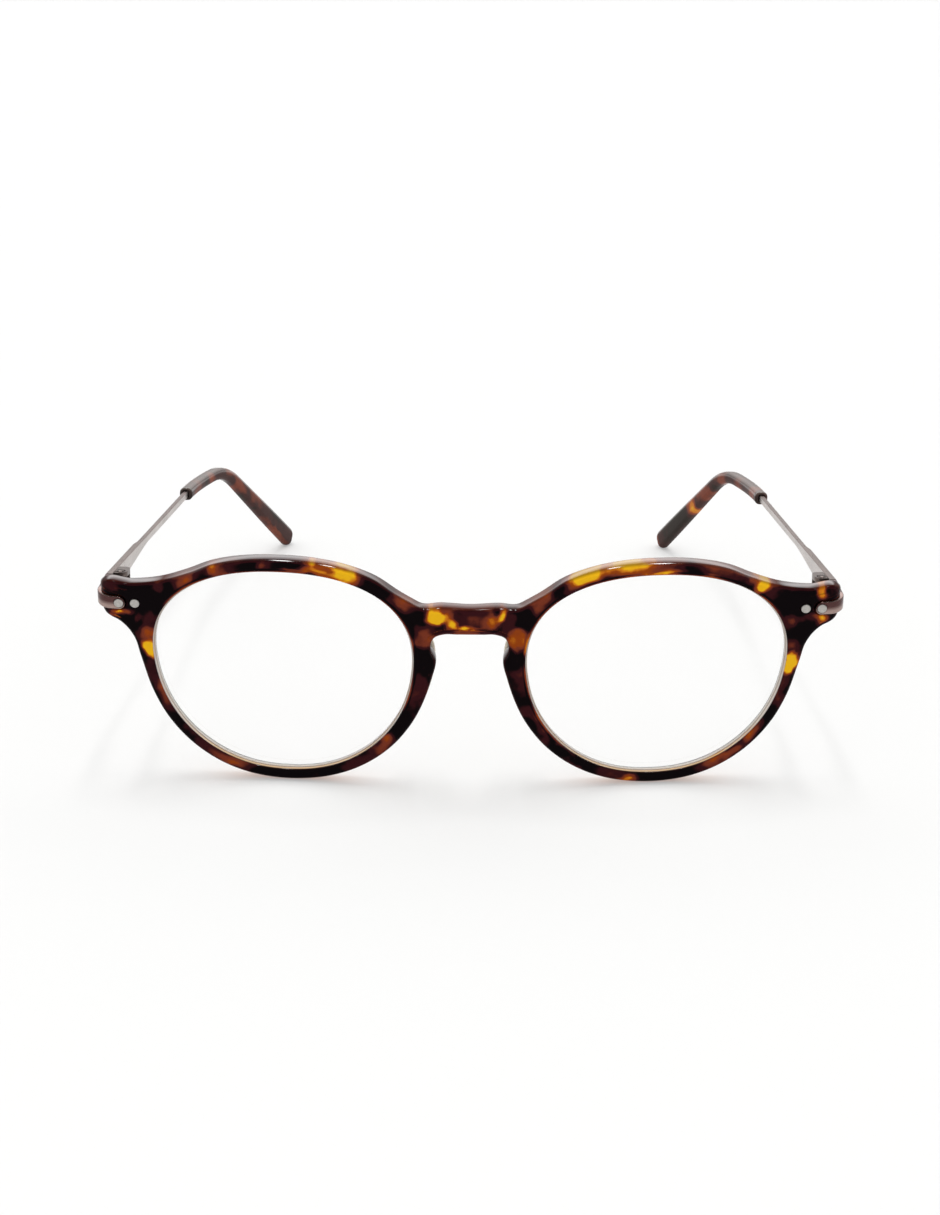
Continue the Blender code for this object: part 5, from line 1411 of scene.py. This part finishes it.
class GLASSES_OT_end_strips(Operator):
    """Builds the metal strips that run round the end pieces"""
    bl_idname = "glasses.end_strips"
    bl_label = "Build the end strips"

    def execute(self, context):
        s, m, k, pose, hinge = settings()
        finish = strip_material()
        strip = strip_solid(s, m, k, pose, hinge)
        radius = m.rivet_diameter / 2 + m.rivet_clearance * STRIP_HOLE_SHARE
        hole = pin(s, k, pose, k.outer_rivet_u, ((-CUT_OVERRUN, radius), (CUT_OVERRUN, radius)))
        for side, sign in SIDES:
            name = side + "_bronze_strip"
            mesh = cut(make_mesh(side + "_strip", *strip, sign), name,
                       make_mesh(side + "_strip_hole", *hole, sign))
            local = moved(read_vectors(mesh.vertices, "co") * (sign, 1, 1), pose.inverted())
            set_attribute(mesh, "rise", (local[:, 2] - k.strip_v) / (m.strip_height / 2))
            add_piece(name, mesh, "front", "strip_metal", side + "_end_strip", finish)
        return {"FINISHED"}


class GLASSES_OT_rivets(Operator):
    """Builds the four rivets with their slightly domed heads"""
    bl_idname = "glasses.rivets"
    bl_label = "Build the rivets"

    def execute(self, context):
        s, m, k, pose, hinge = settings()
        finish = rivet_material()
        radius = m.rivet_diameter / 2
        tail = s.thickness + s.seat_gap + m.bracket_thickness + m.rivet_proud + RIVET_TAIL
        turn_in = np.linspace(0, QUARTER, 9)
        shares = np.linspace(0.01, 0.86, 9)
        edge_depth = radius * RIVET_EDGE_SHARE * (1 - np.cos(turn_in))
        edge_radius = radius * (1 - RIVET_EDGE_SHARE + RIVET_EDGE_SHARE * np.sin(turn_in))
        for label, u, front in (("outer", k.outer_rivet_u, -m.strip_proud - m.rivet_proud),
                                ("inner", k.inner_rivet_u, -m.rivet_proud)):
            dome = front + radius * RIVET_DOME_SHARE * shares ** 2 * 0.5
            profile = np.concatenate([
                np.column_stack([dome, radius * shares]),
                np.column_stack([dome[-1] + edge_depth, edge_radius]),
                np.column_stack([tail - edge_depth, edge_radius])[::-1],
                [(tail, radius * share) for share in (0.7, 0.4, 0.01)],
            ])
            points, faces = pin(s, k, pose, u, profile, PIN_SIDES)
            for side, sign in SIDES:
                name = f"{side}_{label}_pin"
                mesh = make_mesh(name, points, faces, sign)
                set_attribute(mesh, "turned", np.repeat(profile[:, 1] / radius, PIN_SIDES))
                add_piece(name, mesh, "front", "rivet_metal", f"{side}_{label}_rivet", finish)
        return {"FINISHED"}


class GLASSES_OT_hinges(Operator):
    """Finishes the hinge brackets, forks and screws: softened edges and satin metal"""
    bl_idname = "glasses.hinges"
    bl_label = "Finish the hinges"

    def execute(self, context):
        steel = context.scene.glasses_finishes.steel
        block = metal_material("hinge metal", steel, 0.32, HINGE_LINES)
        screw = metal_material("screw metal", steel, 0.24, SCREW_LINES)
        for side, sign in SIDES:
            for kind, finish in (("hinge_bracket", block), ("hinge_fork", block), ("hinge_screw", screw)):
                node = frame["nodes"][f"{side}_{kind}"]
                node.data.materials.clear()
                node.data.materials.append(finish)
                weld = node.modifiers.new("weld", "WELD")
                weld.merge_threshold = HINGE_WELD
                soft = node.modifiers.new("soft edges", "BEVEL")
                soft.width = HINGE_SOFT_EDGE
                soft.segments = 2
                soft.limit_method = "ANGLE"
                soft.angle_limit = math.radians(40)
        return {"FINISHED"}


def temple_path(m, along):
    """Centre line in the hinge frame: straight, then an arc down and an arc inwards, then straight."""
    bar_x = m.hinge_inset - m.temple_step - m.bar_thickness / 2
    bar_z = m.hinge_height / 2 - m.bar_height / 2
    along = np.asarray(along, dtype=float)
    turned = np.clip((along - m.bend_start) / m.bend_radius, 0, m.bend)
    past = np.clip(along - m.bend_start - m.bend_radius * m.bend, 0, None)
    y = np.minimum(along, m.bend_start) + m.bend_radius * np.sin(turned) + past * math.cos(m.bend)
    z = bar_z - m.bend_radius * (1 - np.cos(turned)) - past * math.sin(m.bend)
    toed = np.clip((along - m.toe_start) / m.toe_radius, 0, m.toe)
    beyond = np.clip(along - m.toe_start - m.toe_radius * m.toe, 0, None)
    x = bar_x - m.toe_radius * (1 - np.cos(toed)) - beyond * math.sin(m.toe)
    return np.stack([x, y, z], axis=-1)


def path_frames(m, along):
    """Centres with the directions across and up at each distance along the temple."""
    nudge = m.bar_thickness / 10
    tangents = unit(temple_path(m, along + nudge) - temple_path(m, along - nudge))
    across = unit(np.cross(tangents, (0, 0, 1)))
    return temple_path(m, along), across, np.cross(across, tangents)


class GLASSES_OT_temples(Operator):
    """Builds the two metal temples: tall and flat at the hinge, then a thin bar"""
    bl_idname = "glasses.temples"
    bl_label = "Build the temples"

    def execute(self, context):
        s, m, k, pose, hinge = settings()
        colours = context.scene.glasses_finishes
        finish = metal_material("satin temple", colours.gunmetal, 0.3, TEMPLE_LINES, colours.edge_bronze)
        y = np.concatenate([[-m.temple_lead, -m.temple_lead + TEMPLE_END_EDGE],
                            np.linspace(*TEMPLE_FINE_SPAN, 60),
                            np.linspace(TEMPLE_FINE_SPAN[1], m.toe_start, 24)[1:-1]])
        taper = (y - m.taper_start) / m.taper_length
        tapered = smooth(taper) * 0.35 + np.clip(taper, 0, 1) * 0.65
        stepped = smooth((y - m.step_start) / m.step_length)
        height = m.hinge_height + (m.bar_height - m.hinge_height) * tapered
        outer = m.hinge_inset - m.temple_step * stepped
        inner_start = m.hinge_inset - m.temple_thickness
        inner = inner_start + (m.hinge_inset - m.temple_step - m.bar_thickness - inner_start) * tapered
        ease = np.where(y <= -m.temple_lead, TEMPLE_END_EDGE, 0.0)
        sections = [rounded_rectangle((left - right) / 2 - eased, tall / 2 - eased, m.bar_edge, 4)
                    for tall, left, right, eased in zip(height, outer, inner, ease)]
        middles = np.column_stack([(outer + inner) / 2, y, m.hinge_height / 2 - height / 2])
        sideways, upwards = np.tile((1.0, 0.0, 0.0), (len(y), 1)), np.tile((0.0, 0.0, 1.0), (len(y), 1))
        core = path_frames(m, np.linspace(m.toe_start, m.temple_length - m.core_end_space, CORE_PLACES))
        bar = rounded_rectangle(m.bar_thickness / 2, m.bar_height / 2, m.bar_edge, 4)
        rings = np.concatenate([carried(sections, middles, sideways, upwards), carried(bar, *core)])
        temple = loft(moved(rings, hinge))
        half = m.tongue_height / 2 + m.running_gap
        reach, start = m.tongue_radius + m.running_gap, -m.temple_lead - CUT_OVERRUN
        plan = np.array([(start, start), (reach, start), (reach, reach), (start, reach)])
        slot = loft([moved(np.column_stack([plan, np.full(4, z)]), hinge) for z in (-half, half)])
        for side, sign in SIDES:
            name = side + "_metal_temple"
            mesh = cut(make_mesh(side + "_temple", *temple, sign), name,
                       make_mesh(side + "_slot", *slot, sign))
            add_piece(name, mesh, side + "_side", "temple_metal", side + "_temple", finish)
        return {"FINISHED"}


class GLASSES_OT_tips(Operator):
    """Builds the acetate tips with their bend over the ear"""
    bl_idname = "glasses.tips"
    bl_label = "Build the tips"

    def execute(self, context):
        s, m, k, pose, hinge = settings()
        start, end = m.temple_length - m.tip_length, m.temple_length
        bore = rounded_rectangle(m.bar_thickness / 2 + m.core_clearance, m.bar_height / 2 + m.core_clearance,
                                 m.bar_edge)
        bore_end = end - m.core_end_space + s.seat_gap
        bore_rings = carried(bore, *path_frames(m, np.linspace(bore_end, start, BORE_PLACES)))
        end_radius = m.tip_end_height / 2
        lip_places = start + TIP_LIP * (1 - np.cos(np.linspace(0, QUARTER, ROUNDING_STEPS + 1)))
        closing = end - end_radius + end_radius * np.sin(np.linspace(0, QUARTER, 16)) * 0.9995
        straight = np.linspace(start + TIP_LIP, end - end_radius, TIP_PLACES)[1:-1]
        along = np.concatenate([lip_places, straight, closing])
        grown = smooth((along - m.bend_start) / (end - end_radius - m.bend_start))
        height = m.tip_front_height + (m.tip_end_height - m.tip_front_height) * grown
        thickness = m.tip_front_thickness + (m.tip_end_thickness - m.tip_front_thickness) * grown
        past = np.clip((along - (end - end_radius)) / end_radius, 0, 1)
        tall = height / 2 * np.sqrt(np.clip(1 - past ** 2, 0.0004, 1))
        thick = thickness / 2 * np.sqrt(np.clip(1 - past ** 5, 0.0004, 1))
        into_lip = np.clip(start + TIP_LIP - along, 0, TIP_LIP)
        inset = TIP_LIP - np.sqrt(TIP_LIP ** 2 - into_lip ** 2)
        sections = [rounded_rectangle(*halves, m.tip_edge) for halves in zip(thick - inset, tall - inset)]
        rings = np.concatenate([bore_rings, carried(sections, *path_frames(m, along))])
        tip = loft(moved(rings, hinge))
        finish = acetate_material("tortoise tip", 0.90, False)
        for side, sign in SIDES:
            name = side + "_acetate_tip"
            mesh = make_mesh(name, *tip, sign, crease=50)
            colour_tip(mesh, m, hinge, sign)
            add_piece(name, mesh, side + "_side", "tip_acetate", side + "_temple_tip", finish)
        return {"FINISHED"}


# Studio light by the direction it comes from: bands in which each part fades in or out
BACKDROP_Y = (-0.1, 0.75)
BACKDROP_Z = ((0.30, 0.55), (0.98, 0.80))
FILL_Z = (0.02, 0.35)
FILL_LOW_SHARE = 0.45
TOP_X = ((0.09, 0.12), (0.19, 0.16))
TOP_Y = ((-0.16, -0.08), (0.34, 0.26))
TOP_Z = (0.5, 0.7)
CEILING_Z = (0.45, 0.78)
CEILING_DARKENING = 0.92
BACKDROP_GLOSS_GAIN = 0.30

FLOOR_GLOW = (1.0, 1.0, 0.994, 1.0)
FLOOR_SHADE = 0.995
SENSOR_WIDTH = 36.0
CAMERA_PIVOT_BACK = 0.008
CAMERA_CLIP = (0.01, 30.0)


def lay_floor(scene, g):
    """A square of slightly fibrous pale paper that keeps the object's shadow."""
    paper, half = scene.glasses_finishes.paper, g.floor_size / 2
    mesh = bpy.data.meshes.new("floor")
    mesh.from_pydata([(-half, -half, 0), (half, -half, 0), (half, half, 0), (-half, half, 0)], [],
                     [(0, 1, 2, 3)])
    floor = bpy.data.objects.new("floor", mesh)
    scene.collection.objects.link(floor)
    finish, tree, shader = new_material("paper floor", Roughness=0.9, Specular_IOR_Level=0.1,
                                        Emission_Color=FLOOR_GLOW, Emission_Strength=g.floor_glow)
    fibre = ramp(tree, noise(tree, object_place(tree), 900.0, 3.0, 0.6), 0.3, 0.7)
    feed(tree, shader, Base_Color=mix(tree, fibre, opaque(paper, (FLOOR_SHADE,) * 3), opaque(paper)))
    mesh.materials.append(finish)


def band(tree, value, rising, falling):
    """1 between two fades of a value, 0 outside them."""
    return product(tree, ramp(tree, value, *rising), ramp(tree, value, *falling))


def light_studio(scene, g):
    """A soft sky: fill from all round, a large source behind and two narrow ones overhead.

    The camera sees it white. In reflections the backdrop is brighter and the ceiling dark.
    """
    world = bpy.data.worlds.new("soft studio")
    world.use_nodes = True
    scene.world = world
    tree = world.node_tree
    toward = put(tree, "ShaderNodeTexCoord").outputs["Generated"]
    x, y, z = put(tree, "ShaderNodeSeparateXYZ", {0: toward}).outputs
    path = put(tree, "ShaderNodeLightPath").outputs
    behind = ramp(tree, y, *BACKDROP_Y)
    fill = ramp(tree, z, *FILL_Z, g.fill_light * FILL_LOW_SHARE, g.fill_light)
    light = total(tree, fill, product(tree, behind, band(tree, z, *BACKDROP_Z), g.back_light - g.fill_light))
    gain = product(tree, path["Is Glossy Ray"], behind, BACKDROP_GLOSS_GAIN)
    ceiling = product(tree, path["Is Glossy Ray"], ramp(tree, z, *CEILING_Z, 0.0, CEILING_DARKENING))
    light = product(tree, light, total(tree, 1.0, gain), less(tree, 1.0, ceiling))
    top = product(tree, band(tree, size_of(tree, x), *TOP_X), band(tree, y, *TOP_Y), ramp(tree, z, *TOP_Z))
    light = total(tree, light, product(tree, top, g.top_light))
    level = put(tree, "ShaderNodeMix", {0: path["Is Camera Ray"], 2: light, 3: 1.0}).outputs[0]
    backdrop = tree.nodes["Background"]
    tree.links.new(level, backdrop.inputs["Strength"])
    backdrop.inputs["Color"].default_value = (1.0, 1.0, 1.0, 1.0)


def place_camera(scene, g):
    """The camera of the photograph: ahead of the front, swung round it, pitched down and leaned."""
    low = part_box("front_frame")[0]
    pivot = Vector((0.0, low.y + CAMERA_PIVOT_BACK, 0.0))
    swing = Matrix.Rotation(g.camera_yaw, 4, "Z")
    place = pivot + swing @ Vector((0.0, -g.camera_ahead, g.camera_height))
    forward = swing @ Vector((0.0, math.cos(g.camera_pitch), -math.sin(g.camera_pitch)))
    right = swing @ Vector((1.0, 0.0, 0.0))
    up = right.cross(forward)
    lean_right = right * math.cos(g.camera_roll) + up * math.sin(g.camera_roll)
    lean_up = up * math.cos(g.camera_roll) - right * math.sin(g.camera_roll)
    lens = bpy.data.cameras.new("camera")
    lens.lens = g.camera_lens
    lens.sensor_width = SENSOR_WIDTH
    lens.clip_start, lens.clip_end = CAMERA_CLIP
    camera = bpy.data.objects.new("camera", lens)
    scene.collection.objects.link(camera)
    axes = np.column_stack([lean_right, lean_up, -forward, place])
    camera.matrix_world = Matrix(axes.tolist() + [[0.0, 0.0, 0.0, 1.0]])
    scene.camera = camera


class GLASSES_OT_stage(Operator):
    """Sets the floor, the soft light and the camera"""
    bl_idname = "glasses.stage"
    bl_label = "Set the stage"

    def execute(self, context):
        scene, g = context.scene, context.scene.glasses_stage
        lay_floor(scene, g)
        light_studio(scene, g)
        place_camera(scene, g)
        scene.view_settings.view_transform = "Standard"
        return {"FINISHED"}


OPERATORS = (GLASSES_OT_front, GLASSES_OT_lenses, GLASSES_OT_nose_pads, GLASSES_OT_end_strips,
             GLASSES_OT_rivets, GLASSES_OT_hinges, GLASSES_OT_temples, GLASSES_OT_tips, GLASSES_OT_stage)
SETTINGS = (("glasses_front", FrontSizes), ("glasses_metal", MetalSizes), ("glasses_finishes", Finishes),
            ("glasses_stage", StageSizes))


class GLASSES_PT_build(Panel):
    """Lists the builders and their sizes"""
    bl_label = "Reading glasses"
    bl_idname = "GLASSES_PT_build"
    bl_space_type = "VIEW_3D"
    bl_region_type = "UI"
    bl_category = "Glasses"

    def draw(self, context):
        for operator in OPERATORS:
            self.layout.operator(operator.bl_idname)
        for holder, group in SETTINGS:
            box = self.layout.box()
            for name in group.__annotations__:
                box.prop(getattr(context.scene, holder), name)


def register():
    for holder, group in SETTINGS:
        bpy.utils.register_class(group)
        setattr(bpy.types.Scene, holder, PointerProperty(type=group))
    for thing in (*OPERATORS, GLASSES_PT_build):
        bpy.utils.register_class(thing)


def unregister():
    for thing in (GLASSES_PT_build, *reversed(OPERATORS)):
        bpy.utils.unregister_class(thing)
    for holder, group in reversed(SETTINGS):
        delattr(bpy.types.Scene, holder)
        bpy.utils.unregister_class(group)


def main():
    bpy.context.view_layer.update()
    register()
    for operator in OPERATORS:
        family, name = operator.bl_idname.split(".")
        getattr(getattr(bpy.ops, family), name)()


if __name__ == "__main__":
    main()
